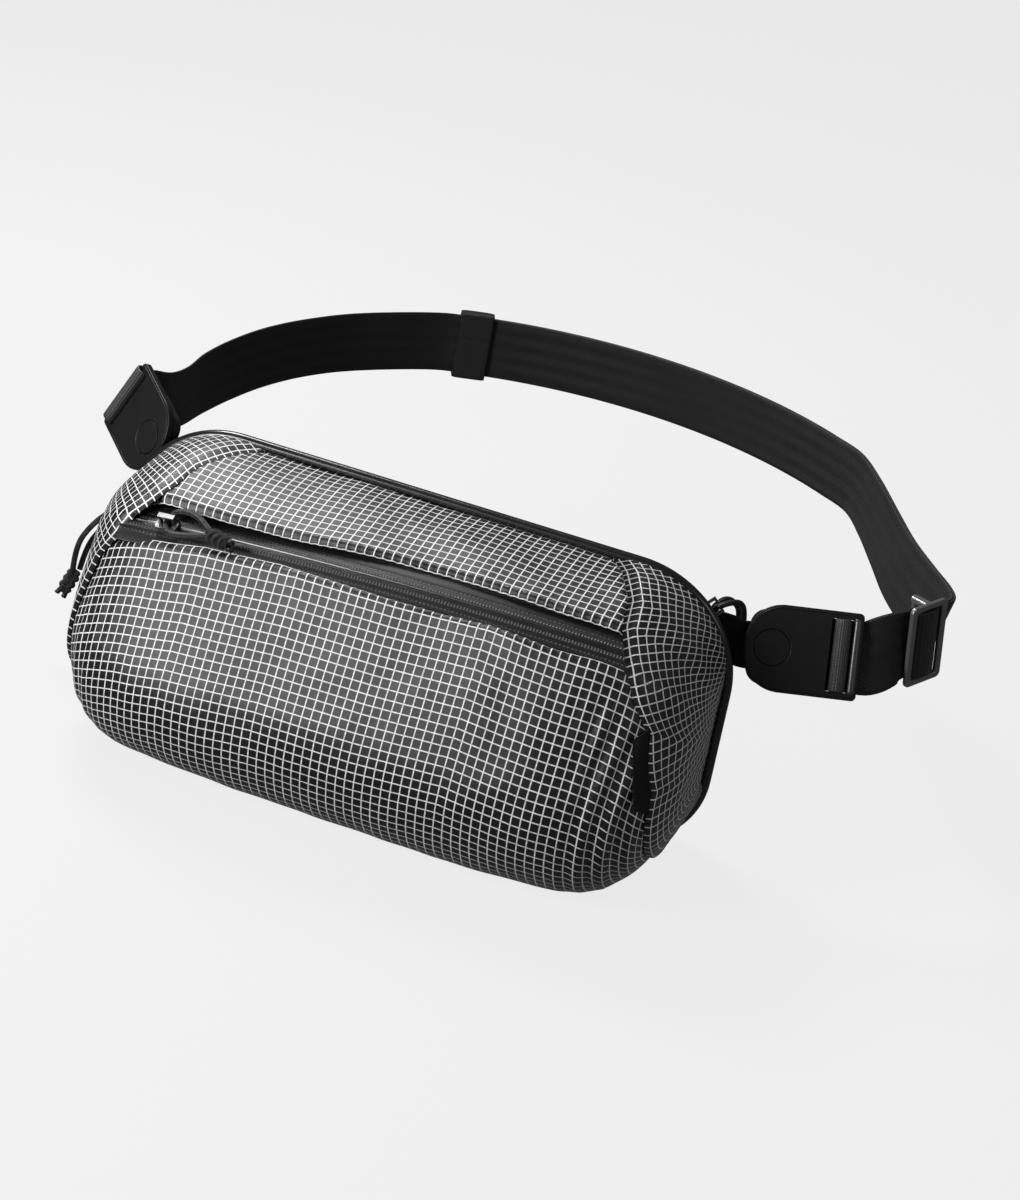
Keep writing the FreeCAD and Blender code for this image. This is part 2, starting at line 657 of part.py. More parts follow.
behind = base_top - 1.4
right_down = right_buckle.Rotation.multVec(V(0, -1, 0))
left_down = left_buckle.Rotation.multVec(V(0, 1, 0))
upright = V(0, 0, -1)
LEFT_ROWS = [(V(-204, 108, 138), V(-0.40, -0.05, -1)), (V(-196, 121, 133), V(-0.22, -0.06, -1)),
             (V(-191, 140, 131), V(-0.05, -0.05, -1)), (V(-189, 163, 133), V(0.04, -0.04, -1)),
             (V(-184, 190, 135), V(0.06, -0.03, -1)), (V(-175, 219, 137), V(0.04, -0.02, -1)),
             (V(-161, 250, 138), upright), (V(-141, 282, 138), upright)]
RIGHT_ROWS = [(V(191, 262, 137), V(-0.06, 0, -1)),
              (V(207.5, 231, 134.5), V(-0.12, -0.02, -1)), (V(224, 200, 132), V(-0.2, -0.05, -1)),
              (V(241, 171, 132), V(-0.26, -0.08, -1)), (V(255, 148, 133), V(-0.24, -0.08, -1)),
              (V(261, 132, 134), V(-0.18, -0.08, -1)), (V(258, 120, 134), V(-0.1, -0.12, -1)),
              (V(250, 107, 132), V(0.02, -0.2, -1)), (V(243, 96.5, 130), V(0.1, -0.3, -1))]
ARC_FROM, ARC_TO, ARC_STEP = 120, 48, -6
arc_rows = [(on_ring(turn), upright) for turn in range(ARC_FROM, ARC_TO - 1, ARC_STEP)]
right_end = [(right_buckle.multVec(V(x, 0, behind - drop)), right_down)
             for x, drop in ((51.0, 0.7), (45.0, 0.0), (28.0, 0.0))]
left_end = [(left_buckle.multVec(V(x, 0, behind)), left_down) for x in (28.0, 39.0)]
thick = size("webbing_thick")
layer = (thick + size("tail_gap")) / 2
strap_rows = left_end + LEFT_ROWS + arc_rows + RIGHT_ROWS + right_end
shaped("strap_webbing", band(strap_rows, size("webbing"), thick, -layer))
KEEPER_TURN = 114
tail_arc = [(on_ring(turn), upright) for turn in range(KEEPER_TURN, ARC_TO - 1, ARC_STEP)]
shaped("strap_tail", band(tail_arc + RIGHT_ROWS + right_end, size("webbing"), thick, layer))

# Webbing folds round the bars of both plates.
legs_floor = behind + layer + thick / 2 + 0.2
slot_left = size("first_slot") + (size("slot_width") - thick) / 2
second_slot = slot_left + size("slot_width") + size("bar_width")
outer_leg = size("left_reach") + 0.3


def bar_fold(label, placement, first, last, legs):
    """Webbing over one bar: up through a slot, over the bar's face and down again."""
    reach = size("webbing")
    over = Part.makeBox(last - first, reach, thick, V(first, -reach / 2, 0.2))
    for left in legs:
        leg = Part.makeBox(thick, reach, 0.2 - legs_floor, V(left, -reach / 2, legs_floor))
        over = over.fuse(leg)
    return shaped(label, over.removeSplitter(), placement)


bar_fold("bar_fold_right", right_buckle, slot_left, second_slot + thick, (slot_left, second_slot))
bar_fold("bar_fold_left", left_buckle, slot_left, outer_leg + thick, (slot_left, outer_leg))

# Tri-glide: two outer bars over the strap, and the middle bar under it.
glide = new_body("tri_glide")
ring_block = extrude(glide, "glide_blank", rectangle(
    glide, "glide_outline", "sizes.glide_length", "sizes.glide_height"), "sizes.glide_thick")
doc.recompute()
glide_round = round_edges(glide, "glide_corners", ring_block,
                          upright_edges(ring_block.Shape, lambda point: True), "sizes.glide_bar")
doc.recompute()
window = extrude(glide, "glide_window", rectangle(
    glide, "glide_window_outline", "sizes.glide_length - 2 * sizes.glide_bar",
    "sizes.slot_height", V(0, 0, size("glide_thick"))), "sizes.glide_thick", "PartDesign::Pocket")
doc.recompute()
for number, side in enumerate((-1, 1)):
    post = extrude(glide, "glide_post_%d" % number, rectangle(
        glide, "glide_post_outline_%d" % number, "sizes.glide_bar + 1",
        "(sizes.glide_height - sizes.slot_height) / 2",
        V(0, side * (size("glide_height") + size("slot_height")) / 4, 0)),
        "4 * sizes.webbing_thick + sizes.glide_bar", down=True)
    doc.recompute()
middle_bar = extrude(glide, "glide_middle", rectangle(
    glide, "glide_middle_outline", "sizes.glide_bar + 1", "sizes.glide_height",
    V(0, 0, -4 * size("webbing_thick") - size("glide_bar"))), "sizes.glide_thick")
doc.recompute()
glide.Tip = middle_bar
glide_place = frame(V(257.4, 111.3, 133.2), V(0.52, 0.844, 0.13), V(0.846, -0.529, 0.051))
keep(glide, "tri_glide", glide_place)

# Keeper: a fabric loop round the strap, bent to the same arc.
inner_in = size("strap_radius") - layer - thick / 2 - size("keeper_clearance")
inner_out = size("strap_radius") + layer + thick / 2 + size("keeper_clearance")
wall = size("keeper_wall")
tall = size("webbing") / 2 + size("keeper_clearance")
turn = math.degrees(size("keeper_length") / size("strap_radius"))


def arc_block(r_in, r_out, half_tall):
    level = size("strap_level")
    base = RING_CENTRE + V(0, 0, level - half_tall)
    outer = Part.makeCylinder(r_out, 2 * half_tall, base, V(0, 0, 1), turn)
    inner = Part.makeCylinder(r_in, 2 * half_tall, base, V(0, 0, 1), turn)
    block = outer.cut(inner)
    block.rotate(RING_CENTRE, V(0, 0, 1), KEEPER_TURN - turn / 2)
    return block


shaped("strap_keeper", arc_block(inner_in - wall, inner_out + wall, tall + wall).cut(
    arc_block(inner_in, inner_out, tall)))

# --------------------------------------------------------------- checks and files
doc.recompute()
for obj in doc.Objects:
    if "Invalid" in obj.State or "Error" in obj.State:
        raise RuntimeError("%s did not build" % obj.Label)
os.makedirs("parts", exist_ok=True)
for obj in PARTS:
    if obj.Shape.isNull() or not obj.Shape.isValid():
        raise RuntimeError("%s has no valid shape" % obj.Label)
    obj.Shape.exportStep("parts/%s.step" % obj.Label)
print("%d sub-parts" % len(PARTS))
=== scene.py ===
import math

import bpy
import numpy as np
from mathutils import Matrix, Vector, noise


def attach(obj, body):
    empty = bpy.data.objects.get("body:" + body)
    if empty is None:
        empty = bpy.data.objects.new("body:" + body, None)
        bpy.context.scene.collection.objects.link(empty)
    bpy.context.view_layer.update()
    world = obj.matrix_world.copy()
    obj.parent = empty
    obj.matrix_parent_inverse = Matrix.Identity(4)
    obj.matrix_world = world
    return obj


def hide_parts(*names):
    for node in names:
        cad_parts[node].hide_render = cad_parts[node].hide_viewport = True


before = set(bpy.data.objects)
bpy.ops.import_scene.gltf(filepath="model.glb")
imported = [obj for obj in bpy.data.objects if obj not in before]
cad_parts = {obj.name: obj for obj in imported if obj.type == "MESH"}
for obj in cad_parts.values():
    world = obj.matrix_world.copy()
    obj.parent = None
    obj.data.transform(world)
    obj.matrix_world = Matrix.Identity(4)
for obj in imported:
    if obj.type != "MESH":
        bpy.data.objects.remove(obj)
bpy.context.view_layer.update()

MM = 0.001
scene = bpy.context.scene
scene.view_settings.view_transform = "Standard"


# ------------------------------------------------------------- camera and light
def aimed(location, x_axis, y_axis, z_axis):
    """World matrix from a place and three axes."""
    rotation = Matrix((x_axis, y_axis, z_axis)).transposed()
    return Matrix.Translation(location) @ rotation.to_4x4()


CAMERA_AT = Vector((0.4140, -1.2744, 0.7529))
IMAGE_RIGHT = Vector((0.925, 0.339, 0.170)).normalized()
LOOKING = Vector((-0.242, 0.873, -0.423)).normalized()
IMAGE_UP = IMAGE_RIGHT.cross(LOOKING).normalized()
IMAGE_RIGHT = LOOKING.cross(IMAGE_UP).normalized()
lens = bpy.data.cameras.new("camera")
lens.lens = 86.0
lens.sensor_width = 36.0
lens.shift_x = 0.0025
lens.shift_y = 0.0025
camera = bpy.data.objects.new("camera", lens)
camera.matrix_world = aimed(CAMERA_AT, IMAGE_RIGHT, IMAGE_UP, -LOOKING)
scene.collection.objects.link(camera)
scene.camera = camera


def softbox(name, direction, distance, size, power):
    """Square area light that faces the bag from a direction."""
    data = bpy.data.lights.new(name, "AREA")
    data.energy = power
    data.size = size
    lamp = bpy.data.objects.new(name, data)
    centre = Vector((0, 0.02, 0.09))
    lamp.location = centre + Vector(direction).normalized() * distance
    lamp.rotation_euler = (lamp.location - centre).to_track_quat("Z", "Y").to_euler()
    scene.collection.objects.link(lamp)


softbox("light_front_left", (-0.60, -0.74, 0.38), 1.4, 0.55, 20)
softbox("light_over_back", (-0.52, 0.42, 0.78), 1.3, 0.42, 15)
softbox("light_right", (0.85, -0.35, 0.6), 1.8, 0.8, 3)
world = bpy.data.worlds.new("studio")
world.use_nodes = True
world.node_tree.nodes["Background"].inputs["Color"].default_value = (0.93, 0.93, 0.93, 1)
world.node_tree.nodes["Background"].inputs["Strength"].default_value = 0.13
scene.world = world


# ------------------------------------------------------------------- materials
def put(tree, kind, inputs=None, **settings):
    """A new node with its settings and unlinked inputs; a socket as a value is linked."""
    made = tree.nodes.new(kind)
    for key, value in settings.items():
        setattr(made, key, value)
    for key, value in (inputs or {}).items():
        if isinstance(value, bpy.types.NodeSocket):
            tree.links.new(value, made.inputs[key])
        else:
            made.inputs[key].default_value = value
    return made


def sums(tree, operation, first, second=0.0, third=0.0):
    return put(tree, "ShaderNodeMath", {0: first, 1: second, 2: third},
               operation=operation).outputs[0]


def finish_of(name, colour, rough, **sockets):
    material = bpy.data.materials.new(name)
    material.use_nodes = True
    tree = material.node_tree
    shader = tree.nodes["Principled BSDF"]
    shader.inputs["Base Color"].default_value = (*colour, 1)
    shader.inputs["Roughness"].default_value = rough
    for key, value in sockets.items():
        shader.inputs[key.replace("_", " ")].default_value = value
    return material, tree, shader


def bump(tree, shader, height, strength, distance):
    made = put(tree, "ShaderNodeBump", {"Height": height, "Strength": strength,
                                        "Distance": distance})
    tree.links.new(made.outputs[0], shader.inputs["Normal"])


def mottle(tree, shader, colour, scale, low, high, rough, spread):
    """Uneven colour and gloss: a slow noise drives both."""
    place = put(tree, "ShaderNodeTexCoord").outputs["Object"]
    cloud = put(tree, "ShaderNodeTexNoise", {"Vector": place, "Scale": scale, "Detail": 5.0})
    ramp = put(tree, "ShaderNodeMapRange", {"Value": cloud.outputs["Fac"], "To Min": low,
                                            "To Max": high})
    tint = put(tree, "ShaderNodeMixRGB", {"Fac": 1.0, "Color1": (*colour, 1),
                                          "Color2": ramp.outputs[0]}, blend_type="MULTIPLY")
    tree.links.new(tint.outputs[0], shader.inputs["Base Color"])
    gloss = put(tree, "ShaderNodeMapRange", {"Value": cloud.outputs["Fac"],
                                             "To Min": rough - spread, "To Max": rough + spread})
    tree.links.new(gloss.outputs[0], shader.inputs["Roughness"])
    return place, tint.outputs[0]


def uv_parts(tree):
    place = put(tree, "ShaderNodeTexCoord").outputs["UV"]
    split = put(tree, "ShaderNodeSeparateXYZ", {0: place})
    return split.outputs[0], split.outputs[1]


def line_mask(tree, value, half_width, soft):
    """1 on a line at each whole number and 0 between."""
    shifted = sums(tree, "FRACT", sums(tree, "ADD", value, 0.5))
    away = sums(tree, "ABSOLUTE", sums(tree, "SUBTRACT", shifted, 0.5))
    return put(tree, "ShaderNodeMapRange", {"Value": away, "From Min": half_width + soft,
                                            "From Max": half_width - soft}).outputs[0]


def ripstop():
    """Dark coated cloth with a thin pale grid; the map's units are millimetres."""
    material, tree, shader = finish_of("ripstop", (0.006, 0.006, 0.0065), 0.36,
                                       Specular_IOR_Level=0.55)
    u, v = uv_parts(tree)
    across = line_mask(tree, sums(tree, "DIVIDE", u, 4.9), 0.066, 0.02)
    along = line_mask(tree, sums(tree, "DIVIDE", v, 5.1), 0.063, 0.02)
    grid = sums(tree, "MAXIMUM", across, along)
    thread_u = sums(tree, "SINE", sums(tree, "MULTIPLY", u, 2 * math.pi / 0.42))
    thread_v = sums(tree, "SINE", sums(tree, "MULTIPLY", v, 2 * math.pi / 0.42))
    weave = sums(tree, "MULTIPLY", thread_u, thread_v)
    place = put(tree, "ShaderNodeTexCoord").outputs["Object"]
    cloud = put(tree, "ShaderNodeTexNoise", {"Vector": place, "Scale": 26.0, "Detail": 6.0})
    fray = put(tree, "ShaderNodeTexNoise", {"Vector": place, "Scale": 900.0, "Detail": 2.0})
    pale = put(tree, "ShaderNodeMapRange", {"Value": fray.outputs["Fac"], "From Min": 0.25,
                                            "From Max": 0.7, "To Min": 0.5, "To Max": 1.0})
    dark = put(tree, "ShaderNodeMapRange", {"Value": cloud.outputs["Fac"], "To Min": 0.002,
                                            "To Max": 0.008})
    tint = put(tree, "ShaderNodeMixRGB", {"Fac": grid, "Color1": dark.outputs[0],
                                          "Color2": pale.outputs[0]})
    tree.links.new(tint.outputs[0], shader.inputs["Base Color"])
    gloss = put(tree, "ShaderNodeMapRange", {"Value": cloud.outputs["Fac"], "To Min": 0.30,
                                             "To Max": 0.44})
    tree.links.new(gloss.outputs[0], shader.inputs["Roughness"])
    relief = sums(tree, "MULTIPLY_ADD", weave, 0.18, grid)
    bump(tree, shader, relief, 0.5, 0.00022)
    return material


def woven(name, colour, rough, pitch, ribs=0.0, sheen=0.1, shine=0.2):
    """Webbing, tape or plain cloth: threads from the map, in millimetres."""
    material, tree, shader = finish_of(name, colour, rough, Sheen_Weight=sheen,
                                       Sheen_Roughness=0.4, Specular_IOR_Level=shine)
    _, tint = mottle(tree, shader, colour, 40.0, 0.7, 1.35, rough, 0.08)
    u, v = uv_parts(tree)
    lean = sums(tree, "PINGPONG", v, 4.5)
    thread_u = sums(tree, "SINE", sums(tree, "MULTIPLY", sums(tree, "MULTIPLY_ADD", lean, ribs, u),
                                       2 * math.pi / pitch))
    thread_v = sums(tree, "SINE", sums(tree, "MULTIPLY", v, 2 * math.pi / (pitch * 0.8)))
    weave = sums(tree, "MULTIPLY_ADD", thread_u, 0.6, sums(tree, "MULTIPLY", thread_v, 0.4))
    bump(tree, shader, weave, 0.7, 0.0002)
    # Painted shade and highlight: the weave's dips are painted darker and its raised threads
    # lighter, following the bump height.
    shade = put(tree, "ShaderNodeMapRange", {"Value": weave, "From Min": -1.0, "From Max": 1.0,
                                             "To Min": 0.55, "To Max": 1.5})
    final = put(tree, "ShaderNodeMixRGB", {"Fac": 1.0, "Color1": tint, "Color2": shade.outputs[0]},
                blend_type="MULTIPLY")
    tree.links.new(final.outputs[0], shader.inputs["Base Color"])
    return material


def zip_cloth():
    """Coated zip tape: coil teeth pressed through beside the slit, then two stitch rows; the tooth
    rows are painted lighter as a painted highlight, and the stitch rows get the same paler dots.
    """
    material, tree, shader = finish_of("zip_tape", (0.006, 0.006, 0.0065), 0.45,
                                       Specular_IOR_Level=0.38)
    u, v = uv_parts(tree)
    away = sums(tree, "ABSOLUTE", v)

    def row(centre, half, pitch, sharp):
        off = sums(tree, "ABSOLUTE", sums(tree, "SUBTRACT", away, centre))
        inside = put(tree, "ShaderNodeMapRange", {"Value": off, "From Min": half,
                                                  "From Max": half * 0.5}).outputs[0]
        beat = sums(tree, "SINE", sums(tree, "MULTIPLY", u, 2 * math.pi / pitch))
        dots = put(tree, "ShaderNodeMapRange", {"Value": beat, "From Min": -sharp,
                                                "From Max": sharp}).outputs[0]
        return sums(tree, "MULTIPLY", inside, dots)

    teeth = row(2.7, 0.95, 1.7, 0.9)
    stitches = row(6.0, 0.32, 2.2, 0.3)
    tooth_stitch_relief_and_glints = sums(tree, "MAXIMUM", teeth, stitches)
    # Painted highlight: the tooth rows, and the stitch rows with them, are painted far lighter
    # (0.075) than the tape (0.005); the same mask also drives the bump.
    tint = put(tree, "ShaderNodeMixRGB", {"Fac": tooth_stitch_relief_and_glints, "Color1": (0.005, 0.005, 0.0055, 1),
                                          "Color2": (0.075, 0.075, 0.077, 1)})
    tree.links.new(tint.outputs[0], shader.inputs["Base Color"])
    place = put(tree, "ShaderNodeTexCoord").outputs["Object"]
    cloud = put(tree, "ShaderNodeTexNoise", {"Vector": place, "Scale": 60.0, "Detail": 4.0})
    gloss = put(tree, "ShaderNodeMapRange", {"Value": cloud.outputs["Fac"], "To Min": 0.40,
                                             "To Max": 0.52})
    tree.links.new(gloss.outputs[0], shader.inputs["Roughness"])
    bump(tree, shader, tooth_stitch_relief_and_glints, 0.8, 0.0003)
    return material


def moulded(name, colour, rough, grain=1400.0, metal=0.0, wear=0.0, strength=0.12,
            shine=0.5):
    """Plastic or enamelled metal: fine grain, uneven gloss and rubbed edges."""
    material, tree, shader = finish_of(name, colour, rough, Metallic=metal,
                                       Specular_IOR_Level=shine)
    place, tint = mottle(tree, shader, colour, 55.0, 0.75, 1.3, rough, 0.07)
    fine = put(tree, "ShaderNodeTexNoise", {"Vector": place, "Scale": grain, "Detail": 3.0})
    bump(tree, shader, fine.outputs["Fac"], strength, 0.0002)
    if wear:
        edges = put(tree, "ShaderNodeNewGeometry").outputs["Pointiness"]
        rubbed = put(tree, "ShaderNodeMapRange", {"Value": edges, "From Min": 0.52,
                                                  "From Max": 0.62, "To Max": wear})
        bright = put(tree, "ShaderNodeMixRGB", {"Fac": rubbed.outputs[0], "Color1": tint,
                                                "Color2": (0.5, 0.5, 0.5, 1)})
        tree.links.new(bright.outputs[0], shader.inputs["Base Color"])
    return material


RIPSTOP = ripstop()
SIDE_CLOTH = woven("side_cloth", (0.008, 0.008, 0.009), 0.5, 0.9, sheen=0.03)
WEBBING = woven("webbing", (0.012, 0.012, 0.0125), 0.5, 1.25, ribs=0.55, sheen=0.05, shine=0.2)
# Painted highlight: the strap's webbing where it folds round a buckle bar is a lighter copy of the
# strap webbing.
LIT_BAR_WEBBING = woven("lit_bar_webbing", (0.035, 0.035, 0.037), 0.40, 1.1, sheen=0.1, shine=0.4)
GLIDE_WEBBING = woven("glide_webbing", (0.012, 0.012, 0.0125), 0.42, 2.3, sheen=0.05, shine=0.35)
TAPE = zip_cloth()
LINING = woven("lining", (0.10, 0.10, 0.105), 0.7, 0.8)
KEEPER = woven("keeper_cloth", (0.009, 0.009, 0.0095), 0.5, 0.7, sheen=0.04, shine=0.2)
LABEL = woven("label_cloth", (0.005, 0.005, 0.005), 0.5, 0.6, sheen=0.03)
MESH_CLOTH = woven("back_mesh", (0.012, 0.012, 0.013), 0.75, 2.4, ribs=0.5, sheen=0.3)
PIPING = moulded("piping", (0.006, 0.006, 0.006), 0.26, 500.0, shine=0.6)
CORD = woven("cord", (0.006, 0.006, 0.0065), 0.42, 0.05, sheen=0.08, shine=0.4)
PLASTIC = moulded("buckle", (0.006, 0.006, 0.0065), 0.44, 2600.0, strength=0.3, shine=0.3)
# Painted highlight: the buckle's bar is a lighter copy of the plate's plastic.
LIT_BARS = moulded("lit_buckle_bars", (0.03, 0.03, 0.031), 0.32, 2200.0, shine=0.6)
COIL = moulded("zip_coil", (0.008, 0.008, 0.008), 0.30, 900.0, shine=0.5)
ENAMEL = moulded("enamel", (0.06, 0.06, 0.062), 0.30, 1800.0, metal=0.8, wear=0.35, shine=0.6)
GLIDE = moulded("glide", (0.17, 0.17, 0.172), 0.30, 1800.0, metal=0.6, wear=0.5)
STEEL = moulded("magnet", (0.6, 0.6, 0.6), 0.3, 900.0, metal=1.0)
FOAM = moulded("foam", (0.05, 0.05, 0.05), 0.8, 400.0)


# ----------------------------------------------------------------- mesh helpers
def piece(name, points, faces, material, body, uv=None, nodes=(), smooth=True):
    """Mesh piece from millimetre points that rides on a body and stands for nodes."""
    mesh = bpy.data.meshes.new(name)
    mesh.from_pydata([tuple(point) for point in np.asarray(points) * MM], [], faces)
    mesh.validate()
    if uv is not None:
        layer = mesh.uv_layers.new(name="map")
        corners = np.empty(len(mesh.loops), dtype=np.int64)
        mesh.loops.foreach_get("vertex_index", corners)
        layer.data.foreach_set("uv", np.asarray(uv, dtype=float)[corners].ravel())
    if smooth:
        mesh.polygons.foreach_set("use_smooth", [True] * len(mesh.polygons))
    mesh.materials.append(material)
    made = bpy.data.objects.new(name, mesh)
    scene.collection.objects.link(made)
    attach(made, body)
    if nodes:
        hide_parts(*nodes)
    return made


def normals_of(grid):
    """Unit normals of a grid of points, rows crossed with columns."""
    across, along = np.gradient(grid, axis=0), np.gradient(grid, axis=1)
    cross = np.cross(across, along)
    size = np.linalg.norm(cross, axis=2, keepdims=True)
    return cross / np.maximum(size, 1e-9)


def unit(vectors):
    """Vectors of length 1, along the last axis."""
    vectors = np.asarray(vectors, float)
    return vectors / np.linalg.norm(vectors, axis=-1, keepdims=True)


def run_of(points):
    """Distance along a line of points, from its first one."""
    steps = np.linalg.norm(np.diff(points, axis=0), axis=1)
    return np.concatenate([[0], np.cumsum(steps)])


def caps(rows, columns, offset=0):
    """The two end faces of a sweep that goes right round."""
    last = offset + (rows - 1) * columns
    return [tuple(range(offset, offset + columns)), tuple(range(last, last + columns))[::-1]]


def quads(rows, columns, offset=0, flip=False, wrap=False):
    faces = []
    for i in range(rows - 1):
        for j in range(columns if wrap else columns - 1):
            k = (j + 1) % columns
            face = (offset + i * columns + j, offset + (i + 1) * columns + j,
                    offset + (i + 1) * columns + k, offset + i * columns + k)
            faces.append(face[::-1] if flip else face)
    return faces


def shell(name, grid, uv, thick, material, body, nodes=(), flip=False):
    """Closed cloth shell: the grid is its outer face, the inner face lies thick below."""
    rows, columns = grid.shape[:2]
    side = -1.0 if flip else 1.0
    inner = grid - side * normals_of(grid) * thick
    points = np.vstack([grid.reshape(-1, 3), inner.reshape(-1, 3)])
    count = rows * columns
    faces = quads(rows, columns, 0, flip) + quads(rows, columns, count, not flip)
    rim = ([i * columns for i in range(rows)]
           + [(rows - 1) * columns + j for j in range(1, columns)]
           + [i * columns + columns - 1 for i in range(rows - 2, -1, -1)]
           + [j for j in range(columns - 2, 0, -1)])
    for start, end in zip(rim, rim[1:] + rim[:1]):
        face = (start, start + count, end + count, end)
        faces.append(face if flip else face[::-1])
    return piece(name, points, faces, material, body, np.vstack([uv.reshape(-1, 2)] * 2),
                 nodes)


def lengths_along(grid, axis):
    """Distance from the first point along one axis of a grid."""
    step = np.linalg.norm(np.diff(grid, axis=axis), axis=2)
    start = np.zeros_like(np.take(step, [0], axis=axis))
    return np.concatenate([start, np.cumsum(step, axis=axis)], axis=axis)


def smoothstep(value, low, high):
    t = np.clip((value - low) / (high - low), 0, 1)
    return t * t * (3 - 2 * t)


def clouds(points, pitch, seed):
    """Smooth repeatable noise at each point."""
    flat = points.reshape(-1, 3) / pitch
    shift = Vector((seed * 7.3, seed * 3.1, seed * 5.7))
    values = [noise.noise(Vector(point) + shift) for point in flat]
    return np.array(values).reshape(points.shape[:-1])


# ---------------------------------------------------------------- form of the bag
HALF, HEIGHT, PIPE_Y, BACK_Y, DEPTH = 170.0, 155.0, 50.0, 70.0, 122.0
TOP_CORNER, BOTTOM_CORNER, TAPER = 56.0, 47.0, 9.0
END_POWER, END_ROUNDNESS = 4.1, 4.4
LEGS = [(69.5, 95, 71, 28), (23.5, 64, 64, 10), (69.5, 28, 22, 28),
        (math.radians(115) * 52, 25, -90, 60)]


def mid_profile():
    """Arc length, distance ahead and height of the middle section, from the top seam."""
    points, ran = [(0.0, 0.0)], [0.0]
    for length, first, last, steps in LEGS:
        for step in range(steps):
            tilt = math.radians(first + (last - first) * (step + 0.5) / steps)
            y, z = points[-1]
            points.append((y - math.sin(tilt) * length / steps,
                           z - math.cos(tilt) * length / steps))
            ran.append(ran[-1] + length / steps)
    points = np.array(points)
    ahead = points[:, 0] * DEPTH / -points[:, 0].min()
    rise = 1 - points[:, 1] / points[:, 1].min()
    ran.append(ran[-1] - ahead[-1])
    return np.array(ran), np.append(ahead, 0.0), np.append(rise, 0.0)


RAN, AHEAD, RISE = mid_profile()
S_END = RAN[-1]
OUTLINE_POINTS = 390


def fade_at(x):
    return (1 - np.minimum(np.abs(x) / HALF, 1) ** END_POWER) ** (1 / END_ROUNDNESS)


def x_at_fade(fade):
    return HALF * (1 - np.asarray(fade) ** END_ROUNDNESS) ** (1 / END_POWER)


def surface(x, s):
    """Points of the bag's front at x and arc length s."""
    x, s = np.broadcast_arrays(np.asarray(x, float), np.asarray(s, float))
    over_top = np.maximum(0, np.abs(x) - (HALF - TOP_CORNER))
    over_low = np.maximum(0, np.abs(x) - (HALF - BOTTOM_CORNER))
    top = HEIGHT - TOP_CORNER + np.sqrt(np.maximum(0, TOP_CORNER ** 2 - over_top ** 2))
    low = BOTTOM_CORNER - np.sqrt(np.maximum(0, BOTTOM_CORNER ** 2 - over_low ** 2))
    y = PIPE_Y + np.interp(s, RAN, AHEAD) * fade_at(x)
    return np.stack([x, y, low + np.interp(s, RAN, RISE) * (top - low)], axis=-1)


def outline(inset, y):
    """Closed rounded outline of the bag at a depth, going round from the lower left."""
    half, top_r, low_r = HALF - inset, TOP_CORNER - inset, BOTTOM_CORNER - inset
    high = HEIGHT - inset
    corners = [(-half + low_r, inset + low_r, low_r, 180, 270), (half - low_r, inset + low_r,
               low_r, 270, 360), (half - top_r, high - top_r, top_r, 0, 90),
               (-half + top_r, high - top_r, top_r, 90, 180)]
    points = []
    for cx, cz, radius, first, last in corners:
        for degrees in np.linspace(first, last, 25):
            turn = math.radians(degrees)
            points.append((cx + radius * math.cos(turn), y, cz + radius * math.sin(turn)))
    points = np.array(points)
    closed = np.vstack([points, points[:1]])
    ran = run_of(closed)
    at = np.linspace(0, ran[-1], OUTLINE_POINTS, endpoint=False)
    return np.stack([np.interp(at, ran, closed[:, k]) for k in range(3)], axis=1)


# -------------------------------------------------------------------- front cloth
UPPER_EDGE = ([-150, -120, -101, -47, 0, 31, 56, 108, 128, 150],
              [79, 78, 77, 73, 67, 65, 65, 67, 69, 71])
LOWER_EDGE = ([-170, -137, -114, -92, -71, -40, 15, 65, 116, 141, 170],
              [112, 106, 102, 97, 95, 92, 91, 88, 93, 93, 95])
WING_EDGE = ([0, 17, 44, 66, 85, 105, 119, 138, 159, 220, 270, 340],
             [97, 108, 120, 124, 132, 142, 152, 156, 161, 163, 164, 164])


def ripples(points, x, s):
    """Folds of the filled cloth: slow swells, and close ripples by the right seam."""
    swell = 1.1 * clouds(points, 46.0, 1) + 0.45 * clouds(points, 17.0, 2)
    seam = np.interp(s, *WING_EDGE)
    close = np.exp(-((x - seam + 16) / 15.0) ** 2) * smoothstep(s, 100, 130)
    close = close * (1 - smoothstep(s, 215, 260))
    ripple = 1.15 * np.sin(2 * math.pi * (x + 0.06 * s) / 10.5 + 0.8 * np.sin(s / 23.0))
    left = np.exp(-((x + seam - 14) / 12.0) ** 2) * smoothstep(s, 110, 150)
    puckers = 0.45 * left * np.sin(2 * math.pi * x / 9.0 + s / 30.0)
    return swell + close * ripple + puckers


end_fades = np.arange(0.8735, 0.50, -0.0125)
ends = x_at_fade(end_fades)
LOWER_X = np.concatenate([-ends[::-1], np.linspace(-138, 138, 185), ends])


